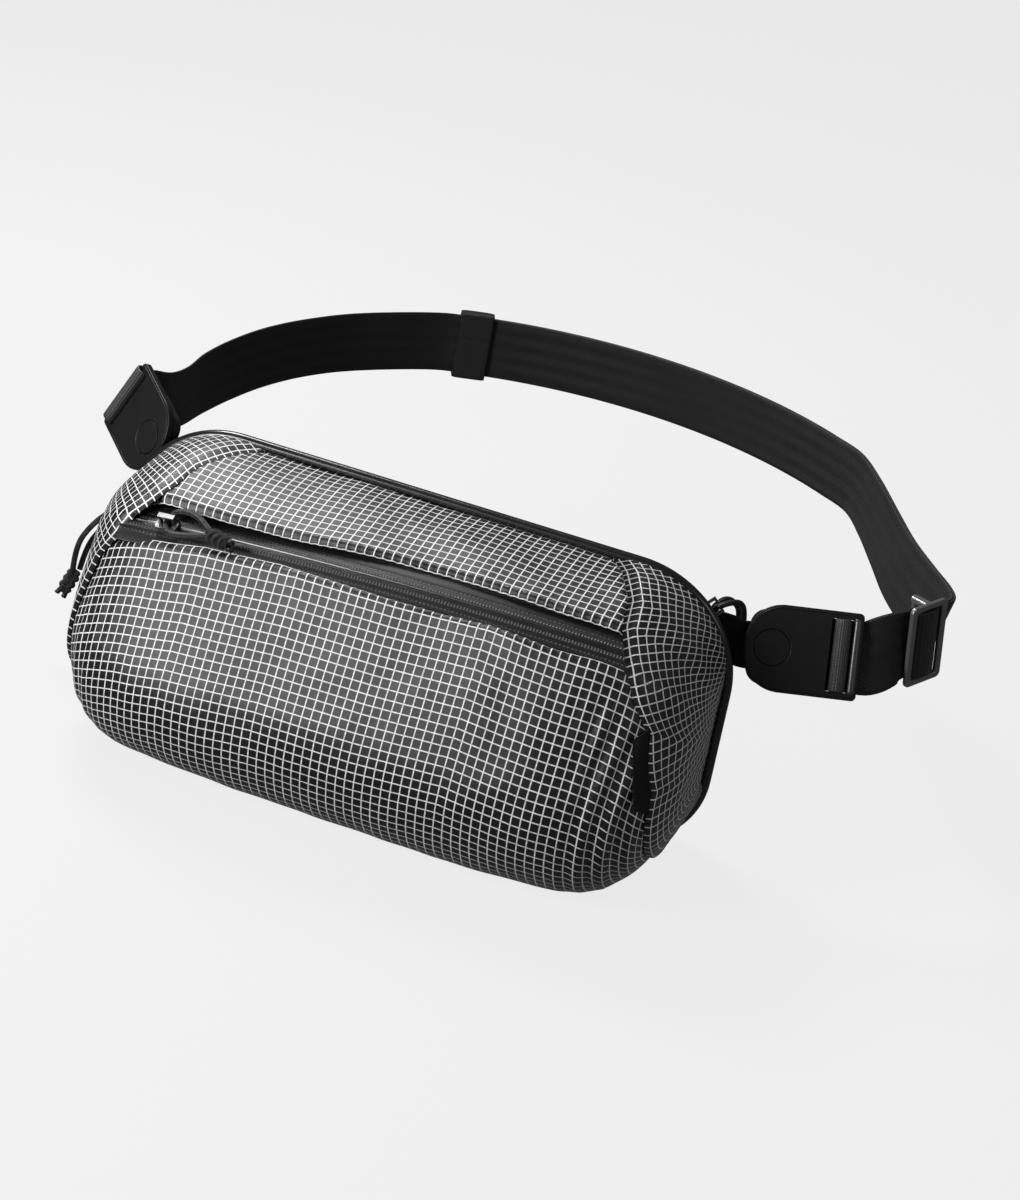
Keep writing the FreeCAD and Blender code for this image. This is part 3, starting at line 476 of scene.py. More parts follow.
def cloth_panel(name, xs, first, last, count, node, lip_at, thick=1.0):
    """Panel between two edges across the front, its lip rolled under by the zip."""
    share = np.linspace(0, 1, count)[None, :]
    x = np.repeat(xs[:, None], count, axis=1)
    s = first[:, None] * (1 - share) + last[:, None] * share
    base = surface(x, s)
    normal = normals_of(base)
    if normal[len(xs) // 2, count // 2, 1] > 0 or normal[len(xs) // 2, count // 2, 2] < -0.5:
        normal = -normal
    edge = np.abs(s - (last if lip_at == "last" else first)[:, None])
    roll = -2.6 * np.clip(1 - edge / 3.2, 0, 1) ** 2
    gather = 0.28 * np.sin(2 * math.pi * x / 5.1) * np.exp(-edge / 4.0)
    lift = 0.4 * np.exp(-((edge - 5) / 5.0) ** 2)
    height = ripples(base, x, s) + roll + gather + lift
    under = smoothstep(np.abs(x) - np.interp(s, *WING_EDGE), -2.0, 4.0)
    seam = np.exp(-np.minimum(s, S_END - s) / 3.0)
    grid = base + normal * (height * (1 - seam) - 1.5 * under - 0.5 * seam)[..., None]
    grid[..., 2] = np.maximum(grid[..., 2], 0.15)
    middle = len(xs) // 2
    u = lengths_along(base, 0)
    u = u - u[middle][None, :]
    v = lengths_along(base, 1)
    if lip_at == "last":
        v = v - v[:, -1:]
    flip = np.sum(normals_of(grid)[middle, count // 2] * normal[middle, count // 2]) < 0
    return shell(name, grid, np.stack([u, v], -1), thick, RIPSTOP, "bag", (node,),
                 flip)


upper_x = np.linspace(-146, 146, 200)
cloth_panel("upper_panel", upper_x, np.full(200, 0.5), np.interp(upper_x, *UPPER_EDGE), 56,
            "front_upper_panel", "last")
cloth_panel("lower_panel", LOWER_X, np.interp(LOWER_X, *LOWER_EDGE), np.full(len(LOWER_X), S_END),
            130, "front_lower_panel", "first")


def wing(side):
    """End panel, lapped over the front with a folded edge, down to the end seam."""
    rows, columns = 170, 60
    s = np.linspace(0.3, S_END, rows)
    edge_x = np.interp(s, *WING_EDGE)
    share = np.linspace(0, 1, columns)[None, :]
    fade = fade_at(edge_x)[:, None] * (1 - share) + 0.012 * share
    x = side * x_at_fade(fade)
    base = surface(x, np.repeat(s[:, None], columns, axis=1))
    normal = normals_of(base)
    outward = np.sign(np.sum(normal[rows // 2, columns // 2] * np.array([side, -0.6, 0.1])))
    normal = normal * outward
    ran = lengths_along(base, 1)
    total = ran[:, -1:]
    fold = 2.3 - 2.1 * np.clip(1 - ran / 2.4, 0, 1) ** 2
    fold = fold * (1 - smoothstep(ran / total, 0.75, 1.0)) + 0.2
    seam = np.exp(-np.minimum(s - s[0], S_END - s) / 4.0)[:, None]
    pinch = np.exp(-((base[..., 1] - 12) / 9.0) ** 2 - ((base[..., 2] - 118) / 16.0) ** 2)
    height = (1.0 * clouds(base, 38.0, 3 + side) + 0.5 * clouds(base, 15.0, 8)
              + (1.6 * pinch if side > 0 else 0.9 * pinch)
              + 0.5 * np.sin(base[..., 2] / 6.0) * np.exp(-ran / 14.0))
    height = height * smoothstep(ran, 0, 8) * (1 - smoothstep(ran / total, 0.82, 1.0))
    grid = base + normal * (fold + height * (1 - seam))[..., None]
    grid[..., 2] = np.maximum(grid[..., 2], 0.15)
    # The cloth's grid runs along the folded edge and square to it.
    edge_way = unit(np.gradient(base[:, 0], axis=0))
    row_way = unit(base[:, 10] - base[:, 0])
    lean = np.sum(edge_way * row_way, axis=1)
    lean = np.convolve(np.pad(lean, 12, mode="edge"), np.ones(25) / 25, mode="valid")[:, None]
    away = ran * np.sqrt(1 - lean ** 2)
    down = lengths_along(base, 0)
    middle = int(np.searchsorted(s, 120.0))
    v = down - down[middle] + ran[middle] * lean[middle]
    name = "wing_cloth_right" if side > 0 else "wing_cloth_left"
    return shell(name, grid, np.stack([away + 2.4, v], -1), 1.1, RIPSTOP, "bag",
                 ("wing_right" if side > 0 else "wing_left",), outward < 0)


wing(1)
wing(-1)


# ------------------------------------------------------- piping, gusset and back
def tube(name, centres, radius, material, body, nodes=(), sides=14, closed=True):
    """Round section swept along a closed or open line of points."""
    count = len(centres)
    ahead = np.roll(centres, -1, 0) - np.roll(centres, 1, 0)
    if not closed:
        ahead = np.gradient(centres, axis=0)
    ahead = unit(ahead)
    side = unit(np.cross(ahead, np.array([0.0, 1.0, 0.0])))
    up = np.cross(side, ahead)
    turns = np.linspace(0, 2 * math.pi, sides, endpoint=False)
    ring = (side[:, None] * (np.cos(turns) * radius)[None, :, None]
            + up[:, None] * (np.sin(turns) * radius)[None, :, None])
    points = centres[:, None] + ring
    faces = quads(count, sides, 0, False, True)
    if closed:
        faces += [((count - 1) * sides + j, j, (j + 1) % sides,
                   (count - 1) * sides + (j + 1) % sides) for j in range(sides)]
    else:
        faces += caps(count, sides)
    uv = np.stack([np.repeat(run_of(centres)[:, None], sides, 1),
                   np.repeat((turns * radius)[None], count, 0)], -1)
    return piece(name, points.reshape(-1, 3), faces, material, body, uv.reshape(-1, 2),
                 nodes)


bead_line = outline(-1.6, PIPE_Y)
lowest = np.flatnonzero((bead_line[:, 2] < 0) & (bead_line[:, 0] > 60))[-1]
bead_line = np.roll(bead_line, -lowest, axis=0)
bead_line = bead_line[bead_line[:, 2] > 1.2]
bead_line[:, 2] = np.maximum(bead_line[:, 2], 3.4)
tube("piping_cord", bead_line, 3.2, PIPING, "bag", ("piping_bead",), closed=False)

gusset_rows = []
for share in np.linspace(0, 1, 22):
    gusset_rows.append(outline(TAPER * share, PIPE_Y + 20 * share))
gusset_grid = np.array(gusset_rows)
gusset_grid = np.concatenate([gusset_grid, gusset_grid[:, :1]], axis=1)
gusset_normal = normals_of(gusset_grid)
outward = gusset_grid - np.array([0, 60, 77.0])
sign = np.sign(np.sum(outward[10] * gusset_normal[10], axis=1)).mean()
gusset_normal = gusset_normal * sign
sink = (smoothstep(gusset_grid[..., 1], 54.4, 55.2)
        * (1 - smoothstep(gusset_grid[..., 1], 66, 66.8))
        * smoothstep(gusset_grid[..., 2], 91.0, 92.2))
puff = 0.7 * clouds(gusset_grid, 30.0, 12)
gusset_grid = gusset_grid + gusset_normal * ((puff * (1 - sink) - 1.6 * sink)[..., None])
gusset_grid[..., 2] = np.maximum(gusset_grid[..., 2], 0.2)
gusset_uv = np.stack([lengths_along(gusset_grid, 1), lengths_along(gusset_grid, 0)], -1)
shell("gusset_cloth", gusset_grid, gusset_uv, 1.0, SIDE_CLOTH, "bag", ("gusset",),
      sign < 0)

back_rows = []
for share in np.linspace(0.003, 1, 46):
    line = outline(TAPER + 0.3, 0)
    centre = np.array([0, 0, 77.5])
    row = centre + (line - centre) * share
    dome = (1 - share ** 10) ** 0.4 if share < 1 else 0.0
    channel = sum(np.exp(-((row[:, 0] - at_x) / 2.6) ** 2) for at_x in (-92, -31, 31, 92))
    channel = channel + np.exp(-((row[:, 2] - 77.5) / 2.4) ** 2) * (np.abs(row[:, 0]) < 92)
    row[:, 1] = BACK_Y + 0.4 + 6.4 * dome - 1.9 * np.minimum(channel, 1) * dome
    back_rows.append(row)
back_grid = np.array(back_rows)
back_grid = np.concatenate([back_grid, back_grid[:, :1]], axis=1)
back_uv = np.stack([back_grid[..., 0], back_grid[..., 2]], -1)
back_sign = normals_of(back_grid)[20, 20, 1] > 0
back_pad = shell("back_pad", back_grid, back_uv, 1.0, MESH_CLOTH, "bag",
                 ("back_panel",), not back_sign)

# ---------------------------------------------------------------------- front zip
ZIP_C, CROWN = np.array([4.0, -27.0, 141.5]), 1700.0
ZIP_Y = np.array([-0.036434, 0.902261, 0.429648])
ZIP_Z = np.array([-0.009846, -0.430218, 0.902665])
ZIP_X = unit(np.cross(ZIP_Y, ZIP_Z))
ZIP_Z = unit(np.cross(ZIP_X, ZIP_Y))


def on_zip(along, across, out):
    turn = np.asarray(along, float) / CROWN
    x = (CROWN + out) * np.sin(turn)
    z = (CROWN + out) * np.cos(turn) - CROWN
    return (ZIP_C + x[..., None] * ZIP_X + np.asarray(across, float)[..., None] * ZIP_Y
            + z[..., None] * ZIP_Z)


def zip_piece(name, first, last, columns, level, material, node):
    along = np.linspace(-148, 136, 420)[:, None] + np.zeros((1, columns))
    across = np.linspace(first, last, columns)[None, :] + np.zeros((420, 1))
    grid = on_zip(along, across, level(along, across))
    uv = np.stack([along, across], -1)
    flip = normals_of(grid)[200, columns // 2] @ ZIP_Z < 0
    return shell(name, grid, uv, 0.7, material, "bag", (node,), flip)


def tape_level(along, across):
    """Height of a tape over the coil line: pressed-through teeth, a stitch row and a roll."""
    away = np.abs(across)
    teeth = 0.55 + 0.45 * np.sin(2 * math.pi * along / 1.3)
    ridge = 0.35 * np.exp(-((away - 2.6) / 0.9) ** 2) * teeth
    dents = 0.5 + 0.5 * np.sin(2 * math.pi * along / 2.4)
    stitch = -0.22 * np.exp(-((away - 6.2) / 0.35) ** 2) * dents
    roll = -0.10 * np.maximum(0, away - 8) ** 1.3 - 0.2 * np.maximum(0, -across)
    return -2.9 + 0.45 * np.exp(-((away - 1.5) / 1.6) ** 2) + ridge + stitch + roll


def coil_level(along, across):
    slit = -0.7 * np.exp(-(across / 0.22) ** 2)
    teeth = 0.05 * np.sin(2 * math.pi * along / 1.3)
    return -2.55 + 0.25 * np.cos(across / 1.5 * 1.3) + slit + teeth


zip_piece("zip_tape_top", 1.5, 12.5, 34, tape_level, TAPE, "front_zip_tape_upper")
zip_piece("zip_tape_bottom", -12.5, -1.5, 34, tape_level, TAPE, "front_zip_tape_lower")
zip_piece("zip_centre", -1.5, 1.5, 17, coil_level, COIL, "front_zip_coil")


# --------------------------------------------------------------- cords and knots
def route_curve(name, route):
    """Smooth curve through a route's points, held at both ends."""
    curve = bpy.data.curves.new(name, "CURVE")
    curve.dimensions = "3D"
    line = curve.splines.new("NURBS")
    line.points.add(len(route) - 1)
    for point, place in zip(line.points, route):
        point.co = (place[0] * MM, place[1] * MM, place[2] * MM, 1)
    line.order_u = 3
    line.use_endpoint_u = True
    return curve


def pull_cord(name, route, body, node):
    """Cord along a route, as a curve with a round section."""
    curve = route_curve(name, route)
    curve.splines[0].resolution_u = 12
    curve.bevel_depth = 1.6 * MM
    curve.bevel_resolution = 5
    curve.use_fill_caps = True
    curve.materials.append(CORD)
    made = bpy.data.objects.new(name, curve)
    scene.collection.objects.link(made)
    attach(made, body)
    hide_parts(node)
    return made


def wrapped_knot(name, start, axis, body, node):
    """Three wraps of cord round its own two strands, with the two cut ends."""
    axis = unit(axis)
    helper = np.array([0.0, 1.0, 0.0]) if abs(axis[1]) < 0.8 else np.array([1.0, 0.0, 0.0])
    first = unit(np.cross(helper, axis))
    second = np.cross(axis, first)
    rows, sides = 60, 28
    share = np.linspace(0, 1, rows)[:, None]
    turn = np.linspace(0, 2 * math.pi, sides, endpoint=False)[None, :]
    bulge = np.abs(np.sin(math.pi * (3.5 * share + turn / (2 * math.pi)))) ** 0.7
    radius = (3.0 + 1.35 * bulge) * np.minimum(1, 1.15 * np.sin(math.pi * np.clip(
        share * 0.9 + 0.05, 0, 1)) ** 0.35)
    points = (np.array(start) + (share * 14.4)[..., None] * axis
              + (radius * np.cos(turn))[..., None] * first
              + (radius * np.sin(turn))[..., None] * second)
    faces = quads(rows, sides, 0, True, True)
    faces += caps(rows, sides)
    uv = np.stack([share * 14.4 + 0 * turn, 4 * turn + 0 * share], -1).reshape(-1, 2)
    points = points.reshape(-1, 3)
    for offset, lean in ((1.7, 0.25), (-1.7, -0.1)):
        base = np.array(start) + axis * 13.2 + first * offset
        along = axis + first * lean
        around_end = np.linspace(0, 2 * math.pi, 12, endpoint=False)
        ring = [base + along * step + (first * math.cos(t) + second * math.sin(t)) * 1.5
                for step in (0.0, 2.0, 3.6) for t in around_end]
        begin = len(points)
        faces += quads(3, 12, begin, True, True) + caps(3, 12, begin)[::-1]
        points = np.vstack([points, ring])
        uv = np.vstack([uv, np.zeros((36, 2))])
    return piece(name, points, faces, CORD, body, uv, (node,))


PULLS = {
    "front_pull": ("front_pull", [
        (-92.1, -33.6, 139.9), (-100.3, -26.7, 141.9), (-110.4, -23.6, 141.9),
        (-117.6, -25.0, 138.6), (-117.3, -33.6, 134.4), (-112.7, -38.6, 134.0),
        (-102.8, -39.4, 135.6), (-92.0, -36.9, 138.3)],
        (-92.02, -35.27, 139.09), (14.38, -4.23, -0.55)),
    "main_pull_left": ("main_pull_left", [
        (-201.5, 44.0, 52.0), (-202.5, 46.0, 66.0), (-197.0, 49.5, 79.0), (-187.0, 52.5, 91.0),
        (-172.0, 58.9, 101.1), (-168.4, 67.0, 100.9), (-168.0, 70.5, 96.5), (-172.0, 67.0, 92.0),
        (-184.0, 60.5, 86.0), (-193.0, 57.0, 77.0), (-199.0, 52.5, 65.0), (-199.5, 48.5, 52.0)],
        (-200.5, 46.25, 52.0), (-4.57, -5.20, -13.31)),
    "main_pull_right": ("main_pull_right", [
        (167.5, 78.8, 118.0), (167.7, 79.4, 129.0), (166.0, 73.0, 141.5), (161.0, 62.5, 144.0),
        (154.9, 59.1, 140.0), (152.5, 66.8, 137.5), (157.0, 73.5, 141.5), (162.5, 81.0, 135.5),
        (164.0, 83.4, 127.0), (163.8, 83.2, 118.0)],
        (165.65, 81.0, 118.0), (0.29, 1.66, -14.91)),
}


def line_length(route):
    """Length of the smooth line through a route's points, read from its own spline."""
    probe = bpy.data.objects.new("measure", route_curve("measure", route))
    mesh = bpy.data.meshes.new_from_object(probe)
    places = [vertex.co.copy() for vertex in mesh.vertices]
    bpy.data.objects.remove(probe)
    bpy.data.meshes.remove(mesh)
    return sum((b - a).length for a, b in zip(places, places[1:]))


for pull_name, (pull_body, route, knot_at, knot_axis) in PULLS.items():
    knot_piece = wrapped_knot(pull_name + "_wraps", knot_at, knot_axis, pull_body,
                              pull_name + "_knot")
    strand = pull_cord(pull_name + "_strand", route, pull_body, pull_name + "_cord")
    line_length(route)

# ----------------------------------------------------------------- webbing bands
def frame_axes(ex, ez):
    """Axes from an X direction and a Z direction, which stays as given."""
    ez = unit(ez)
    ex = np.array(ex, float)
    ex = unit(ex - ez * (ex @ ez))
    return ex, np.cross(ez, ex), ez


def local(place, x, y, z):
    origin, (ex, ey, ez) = place
    return np.array(origin) + ex * x + ey * y + ez * z


def smooth_rows(rows, per_span):
    """Centres and downward directions through the given rows, on a Catmull-Rom line."""
    places = np.array([np.concatenate([centre, down]) for centre, down in rows], float)
    padded = np.vstack([2 * places[0] - places[1], places, 2 * places[-1] - places[-2]])
    made = []
    for k in range(1, len(padded) - 2):
        for step in np.linspace(0, 1, per_span, endpoint=False):
            p0, p1, p2, p3 = padded[k - 1:k + 3]
            made.append(0.5 * (2 * p1 + (p2 - p0) * step
                               + (2 * p0 - 5 * p1 + 4 * p2 - p3) * step ** 2
                               + (3 * p1 - p0 - 3 * p2 + p3) * step ** 3))
    made.append(padded[-2])
    made = np.array(made)
    return made[:, :3], made[:, 3:]


def band(name, rows, width, thick, offset, material, body, nodes, per_span=8):
    """Flat webbing on edge, with rounded edges."""
    centre, down = smooth_rows(rows, per_span)
    ahead = unit(np.gradient(centre, axis=0))
    across = down - ahead * np.sum(ahead * down, axis=1, keepdims=True)
    across = unit(across)
    normal = np.cross(ahead, across)
    half, wall = width / 2, thick / 2
    flat = np.linspace(-half + 0.5, half - 0.5, 15)
    section = ([(a, wall) for a in flat] + [(half - 0.12, wall * 0.6), (half, 0.0),
               (half - 0.12, -wall * 0.6)] + [(a, -wall) for a in flat[::-1]]
               + [(-half + 0.12, -wall * 0.6), (-half, 0.0), (-half + 0.12, wall * 0.6)])
    section = np.array(section)
    points = (centre[:, None] + across[:, None] * section[None, :, :1]
              + normal[:, None] * (section[:, 1] + offset)[None, :, None])
    count, sides = points.shape[:2]
    uv = np.stack([np.repeat(run_of(centre)[:, None], sides, 1),
                   np.repeat(section[:, 0][None] + half, count, 0)], -1)
    faces = quads(count, sides, 0, True, True) + caps(count, sides)
    return piece(name, points.reshape(-1, 3), faces, material, body, uv.reshape(-1, 2),
                 nodes)


RIGHT = ((187.0, 68.0, 124.0), frame_axes((0.953, 0.295, 0.063), (0.242, -0.873, 0.423)))
LEFT = ((-181.6, 76.0, 129.2), frame_axes((-0.727, 0.609, 0.325), (-0.528, -0.791, 0.300)))
BASE_BACK, BEHIND = -8.3, -5.7
RING_CENTRE, STRAP_RADIUS, STRAP_LEVEL = np.array([14.0, 111.0, 0.0]), 240.0, 138.0
UPRIGHT = (0, 0, -1)


def on_ring(degrees):
    turn = math.radians(degrees)
    return RING_CENTRE + np.array([math.cos(turn) * STRAP_RADIUS, math.sin(turn) * STRAP_RADIUS,
                                   STRAP_LEVEL])


LEFT_ROWS = [((-204, 108, 138), (-0.40, -0.05, -1)), ((-196, 121, 133), (-0.22, -0.06, -1)),
             ((-191, 140, 131), (-0.05, -0.05, -1)), ((-189, 163, 133), (0.04, -0.04, -1)),
             ((-184, 190, 135), (0.06, -0.03, -1)), ((-175, 219, 137), (0.04, -0.02, -1)),
             ((-161, 250, 138), UPRIGHT), ((-141, 282, 138), UPRIGHT)]
RIGHT_ROWS = [((191, 262, 137), (-0.06, 0, -1)),
              ((207.5, 231, 134.5), (-0.12, -0.02, -1)), ((224, 200, 132), (-0.2, -0.05, -1)),
              ((241, 171, 132), (-0.26, -0.08, -1)), ((255, 148, 133), (-0.24, -0.08, -1)),
              ((261, 132, 134), (-0.18, -0.08, -1)), ((258, 120, 134), (-0.1, -0.12, -1)),
              ((250, 107, 132), (0.02, -0.2, -1)), ((243, 96.5, 130), (0.1, -0.3, -1))]
right_down = -RIGHT[1][1]
left_down = LEFT[1][1]
right_end = [(local(RIGHT, x, 0, BEHIND - drop), right_down)
             for x, drop in ((51.0, 0.7), (45.0, 0.0), (28.0, 0.0))]
left_end = [(local(LEFT, x, 0, BEHIND), left_down) for x in (28.0, 39.0)]
arc_rows = [(on_ring(turn), UPRIGHT) for turn in range(120, 47, -6)]
THICK, LAYER = 1.5, 0.825
band("strap_band", left_end + LEFT_ROWS + arc_rows + RIGHT_ROWS + right_end, 38.0, THICK, -LAYER,
     WEBBING, "strap", ("strap_webbing",))
KEEPER_TURN = 114
tail_arc = [(on_ring(turn), UPRIGHT) for turn in range(KEEPER_TURN, 47, -6)]
band("strap_tail_band", tail_arc + RIGHT_ROWS + right_end, 38.0, THICK, LAYER, WEBBING, "strap",
     ("strap_tail",))

for side_name, place, seam in (("right", RIGHT, [(146, 71.6, 121.5), (162, 72.2, 121)]),
                               ("left", LEFT, [(-146, 71.6, 120.5), (-158, 72.4, 121)])):
    down = -place[1][1] if place[1][1][2] > 0 else place[1][1]
    rows = [(seam[0], UPRIGHT), (seam[1], UPRIGHT), (local(place, -13, 0, BASE_BACK - 0.8), down),
            (local(place, 14, 0, BASE_BACK - 0.8), down)]
    band("anchor_band_" + side_name, rows, 25.0, THICK, 0.0, WEBBING, "bag",
         ("anchor_tab_" + side_name,), per_span=10)


def wrap(name, place, line, node, width=38.0, material=LIT_BAR_WEBBING):
    """Webbing wrapped round a bar, along a line of the plate's own X and Z."""
    line = np.array(line, float)
    fine = []
    for start, end in zip(line, line[1:]):
        fine += [start + (end - start) * k / 4 for k in range(4)]
    fine = np.array(fine + [line[-1]])
    for _ in range(6):
        fine[1:-1] = (fine[:-2] + 2 * fine[1:-1] + fine[2:]) / 4
    rows = [(local(place, x, 0, z), place[1][1]) for x, z in fine]
    return band(name, rows, width, 1.4, 0.0, material, "strap",
                (node,) if node else (), 2)


wrap("bar_wrap_right", RIGHT, [(32.3, -4.2), (32.3, -1.0), (32.4, 0.8), (33.6, 2.2), (35.9, 2.7),
                               (38.2, 2.2), (39.4, 0.8), (39.6, -1.0), (39.6, -4.2)],
     "bar_fold_right")
wrap("bar_wrap_left", LEFT, [(32.3, -4.2), (32.3, -1.0), (32.4, 0.8), (33.6, 2.0), (35.6, 2.4),
                             (37.6, 2.0), (38.9, 0.8), (39.1, -1.0), (39.1, -4.2)],
     "bar_fold_left")


# ---------------------------------------------------------------- buckle plates
def rounded(corners, per_corner=10):
    """Polygon from corners given as (x, y, radius), going round anticlockwise."""
    made = []
    for k, (x, y, radius) in enumerate(corners):
        here = np.array([x, y], float)
        back = np.array(corners[k - 1][:2], float) - here
        ahead = np.array(corners[(k + 1) % len(corners)][:2], float) - here
        back, ahead = unit(back), unit(ahead)
        start, end = here + back * radius, here + ahead * radius
        centre = here + (back + ahead) * radius
        for share in np.linspace(0, 1, per_corner):
            spot = start + (end - start) * share - centre
            made.append(centre + unit(spot) * radius)
    return made


def flat_plate(name, place, outlines, low, high, bevel, material, body, nodes=()):
    """Plate with holes and rounded edges, from outlines in its own plane."""
    curve = bpy.data.curves.new(name, "CURVE")
    curve.dimensions = "2D"
    curve.fill_mode = "BOTH"
    curve.extrude = ((high - low) / 2 - bevel) * MM
    curve.bevel_depth = bevel * MM
    curve.bevel_resolution = 3
    curve.offset = -bevel * MM
    for points in outlines:
        line = curve.splines.new("POLY")
        line.points.add(len(points) - 1)
        line.use_cyclic_u = True
        for point, spot in zip(line.points, points):
            point.co = (spot[0] * MM, spot[1] * MM, 0, 1)
    probe = bpy.data.objects.new(name + "_probe", curve)
    mesh = bpy.data.meshes.new_from_object(probe)
    bpy.data.objects.remove(probe)
    origin, (ex, ey, ez) = place
    middle = np.array(origin) + ez * (low + high) / 2
    places = np.array([vertex.co for vertex in mesh.vertices])
    moved = (middle * MM + places[:, :1] * ex + places[:, 1:2] * ey + places[:, 2:] * ez)
    faces = [tuple(polygon.vertices) for polygon in mesh.polygons]
    bpy.data.meshes.remove(mesh)
    made = piece(name, moved / MM, faces, material, body, None, nodes, smooth=False)
    weld = made.modifiers.new("weld", "WELD")
    weld.merge_threshold = 0.00001
    return made


def ring_of(radius, x=0.0, y=0.0, count=48):
    return [(x + radius * math.cos(t), y + radius * math.sin(t))
            for t in np.linspace(0, 2 * math.pi, count, endpoint=False)]


def slot_outline(left, width, half):
    return rounded([(left, -half, 1.0), (left + width, -half, 1.0), (left + width, half, 1.0),
                    (left, half, 1.0)], 5)


def plate_outline(reach, inset=0.0):
    half, tip = 23.0 - inset, -14.5 + inset
    return rounded([(tip, -half, 20.0 - inset), (reach - inset, -half, 2.6),
                    (reach - inset, half, 2.6), (tip, half, 20.0 - inset)], 18)


for side_name, place, reach, slots in (("left", LEFT, 38.0, 1), ("right", RIGHT, 46.5, 2)):
    holes = [slot_outline(30.0 + k * 8.7, 3.2, 19.1) for k in range(slots)]
    flat_plate("plate_" + side_name, place,
               [plate_outline(reach)] + holes + [ring_of(9.65)],
               -4.0, 0.0, 0.7, PLASTIC, "strap", ("buckle_plate_" + side_name,))
    flat_plate("cover_" + side_name, place, [ring_of(9.3)], -1.0, 0.0, 0.25, PLASTIC, "strap",
               ("magnet_cover_" + side_name,))
    flat_plate("cover_seat_" + side_name, place, [ring_of(9.8)], -3.9, -1.05, 0.1, PLASTIC,
               "strap")
    rim = np.array([local(place, x, y, 0.0) for x, y in plate_outline(reach, 1.5)])
    rim = np.array([rim[k] for k in range(len(rim))
                    if np.linalg.norm(rim[k] - rim[k - 1]) > 0.05])
    tube("plate_rim_" + side_name, rim, 0.42, PLASTIC, "strap", (), 8)

bar_line = np.array([local(RIGHT, 43.4, y, -0.9) for y in np.linspace(-19.8, 19.8, 24)])
tube("outer_bar_right", bar_line, 2.3, LIT_BARS, "strap", (), 20, False)

# ------------------------------------------------------------ tri-glide and keeper
GLIDE_AXES = frame_axes((0.52, 0.844, 0.13), (0.846, -0.529, 0.051))
GLIDE_AT = ((257.4, 111.3, 133.2), GLIDE_AXES)
frame_outline = rounded([(-13, -23.5, 3.2), (13, -23.5, 3.2), (13, 23.5, 3.2),
                         (-13, 23.5, 3.2)])
frame_window = rounded([(-9, -20, 1.2), (9, -20, 1.2), (9, 20, 1.2), (-9, 20, 1.2)], 5)
flat_plate("glide_frame", GLIDE_AT, [frame_outline, frame_window], 0.0, 2.6, 0.8, GLIDE, "strap",
           ("tri_glide",))
for number, side in enumerate((-1, 1)):
    post = rounded([(-2.5, 20.1, 0.5), (2.5, 20.1, 0.5), (2.5, 23.4, 1.2), (-2.5, 23.4, 1.2)], 5)
    if side < 0:
        post = [(x, -y) for x, y in post[::-1]]
    flat_plate("glide_post_%d" % number, GLIDE_AT, [post], -10.0, 0.4, 0.4, GLIDE, "strap")
arch = [(-8.2, -2.6), (-8.0, 0.2), (-6.4, 1.9), (-3.2, 3.0), (0.0, 3.3), (3.2, 3.0), (6.4, 1.9),
        (8.0, 0.2), (8.2, -2.6)]
wrap("glide_wrap", GLIDE_AT, arch, None, 39.2, GLIDE_WEBBING)
middle_line = np.array([local(GLIDE_AT, 0, y, -8.7) for y in np.linspace(-23.3, 23.3, 30)])
tube("glide_middle", middle_line, 1.9, GLIDE, "strap", (), 18, False)


def around(wall, low, high, half_tall, radius):
    """Rounded outline of the keeper in (radius from the strap's centre, height)."""
    near, far = low - wall, high + wall
    tall = half_tall + wall
    return rounded([(near, -tall, radius), (far, -tall, radius), (far, tall, radius),
                    (near, tall, radius)], 7)


def swept(points, turns, swell):
    """Rows of an outline carried round the strap's arc, with a swell and the seam's groove."""
    middle = points.mean(axis=0)
    rows = []
    for turn in turns:
        end = abs(turn - turns[len(turns) // 2]) / (turns[-1] - turns[len(turns) // 2])
        spread = points + np.sign(points - middle) * swell * (1 - end ** 6)
        groove = 0.5 * np.exp(-((spread[:, 1] - 4.5) / 0.5) ** 2) if swell else 0
        reach = spread[:, 0] - np.sign(spread[:, 0] - middle[0]) * groove
        rows.append(np.stack([RING_CENTRE[0] + math.cos(turn) * reach,
                              RING_CENTRE[1] + math.sin(turn) * reach,
                              STRAP_LEVEL + spread[:, 1]], axis=1))
    return np.array(rows)


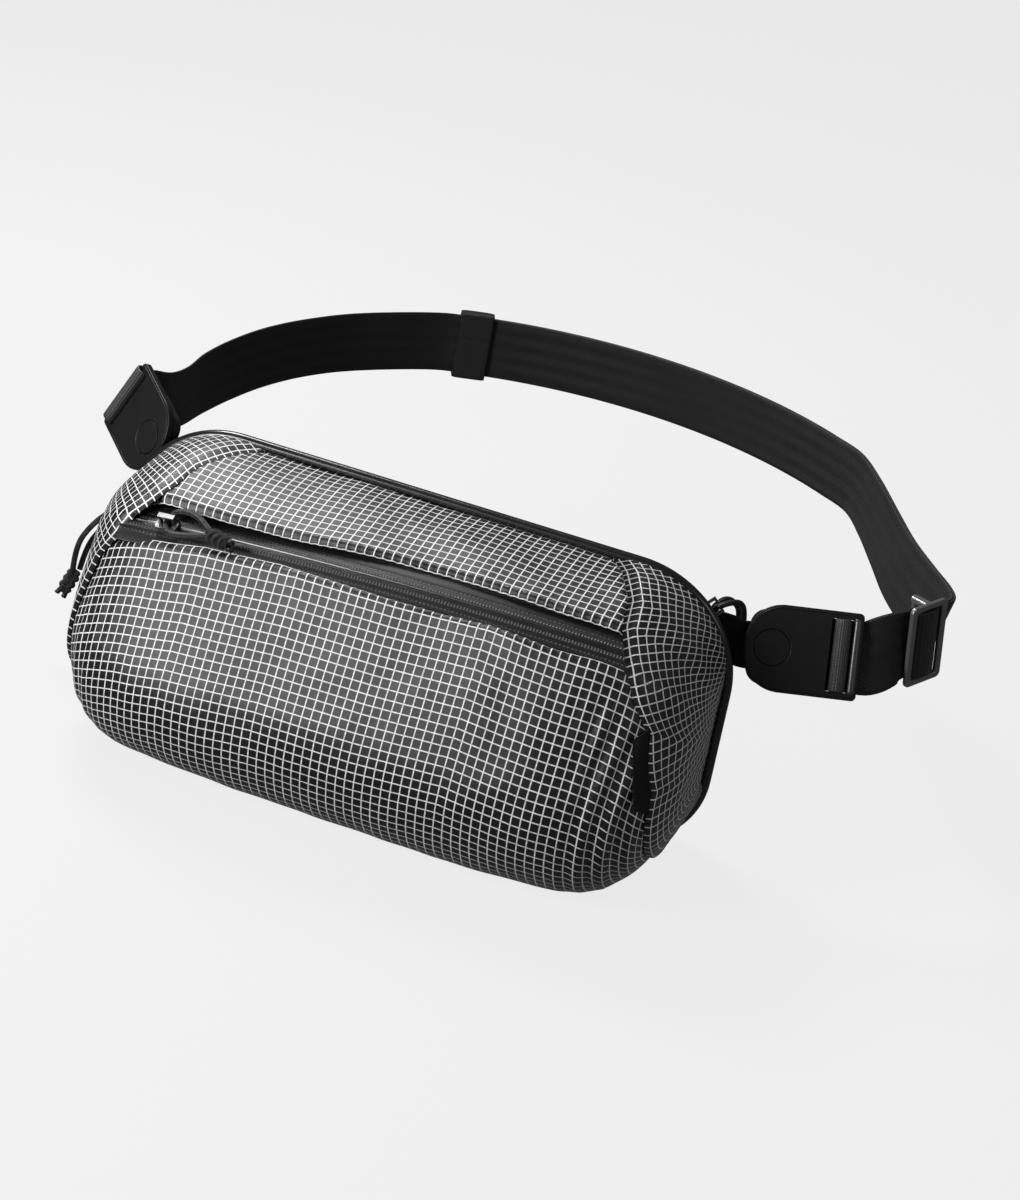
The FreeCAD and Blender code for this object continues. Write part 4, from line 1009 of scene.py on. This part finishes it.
def keeper_loop():
    """Cloth loop sewn round the strap, following its curve."""
    half_turn = math.degrees(20.5 / STRAP_RADIUS) / 2
    clear, tall, wall = 2.175, 19.6, 1.6
    outer = np.array(around(wall, STRAP_RADIUS - clear, STRAP_RADIUS + clear, tall, 1.7))
    turns = np.radians(np.linspace(KEEPER_TURN - half_turn, KEEPER_TURN + half_turn, 25))
    refined = []
    for first, last in zip(outer, np.roll(outer, -1, 0)):
        steps = max(1, int(np.linalg.norm(last - first) / 1.0))
        refined += [first + (last - first) * k / steps for k in range(steps)]
    refined = np.array(refined)
    middle = outer.mean(axis=0)
    shrink = np.array([clear / (clear + wall), tall / (tall + wall)])
    outer_grid = swept(refined, turns, 0.35)
    inner_grid = swept((refined - middle) * shrink + middle, turns, 0.0)
    rows, columns = outer_grid.shape[:2]
    count = rows * columns
    faces = quads(rows, columns, 0, False, True) + quads(rows, columns, count, True, True)
    for row, turned in ((0, True), (rows - 1, False)):
        for j in range(columns):
            k = (j + 1) % columns
            face = (row * columns + j, row * columns + k, count + row * columns + k,
                    count + row * columns + j)
            faces.append(face if turned else face[::-1])
    points = np.vstack([outer_grid.reshape(-1, 3), inner_grid.reshape(-1, 3)])
    uv = np.stack([np.repeat((turns * STRAP_RADIUS)[:, None], columns, 1),
                   outer_grid[..., 2]], -1).reshape(-1, 2)
    return piece("keeper_loop", points, faces, KEEPER, "keeper",
                 np.vstack([uv, uv]), ("strap_keeper",))


keeper_loop()

# -------------------------------------------------------------------- side label
label_corners = [np.array(c, float) for c in ((147, -36, 102), (153, -28, 108), (164, -28, 61),
                                              (156, -41, 67))]
share_x = np.linspace(0, 1, 14)[None, :, None]
share_y = np.linspace(0, 1, 40)[:, None, None]
top_line = label_corners[0] * (1 - share_x) + label_corners[1] * share_x
low_line = label_corners[3] * (1 - share_x) + label_corners[2] * share_x
label_grid = top_line * (1 - share_y) + low_line * share_y
label_out = np.array([0.62, -0.75, 0.1])
label_grid = label_grid + label_out * (1.6 + 1.2 * np.sin(math.pi * share_x) * 0.6)
label_uv = np.stack([np.repeat(share_x[..., 0] * 12, 40, 0),
                     np.repeat(share_y[..., 0] * 40, 14, 1)], -1)
label_flip = normals_of(label_grid)[20, 7] @ label_out < 0
shell("label_tab", label_grid, label_uv, 0.9, LABEL, "bag", ("side_label",), label_flip)

# ------------------------------------------------------------- carried-over nodes
CARRIED = {"main_zip_tape_front": TAPE, "main_zip_tape_rear": TAPE, "main_zip_coil": COIL,
           "pocket_lining": LINING, "main_lining": LINING, "back_foam": FOAM,
           "front_slider": ENAMEL, "main_slider_left": ENAMEL, "main_slider_right": ENAMEL,
           "buckle_base_left": PLASTIC, "buckle_base_right": PLASTIC,
           "base_magnet_left": STEEL, "base_magnet_right": STEEL,
           "plate_magnet_left": STEEL, "plate_magnet_right": STEEL}
for node_name, material in CARRIED.items():
    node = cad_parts[node_name]
    node.data.materials.clear()
    node.data.materials.append(material)

# ----------------------------------------------------------------- floor
bpy.ops.mesh.primitive_plane_add(size=14.0, location=(0, 0, 0))
floor = bpy.context.object
floor.name = "floor"
floor_look, _, floor_shader = finish_of("floor", (0.07, 0.07, 0.07), 0.9)
floor_shader.inputs["Emission Color"].default_value = (1, 1, 1, 1)
floor_shader.inputs["Emission Strength"].default_value = 0.80
floor_shader.inputs["Specular IOR Level"].default_value = 0.0
floor.data.materials.append(floor_look)
floor.visible_glossy = False
floor.visible_diffuse = False
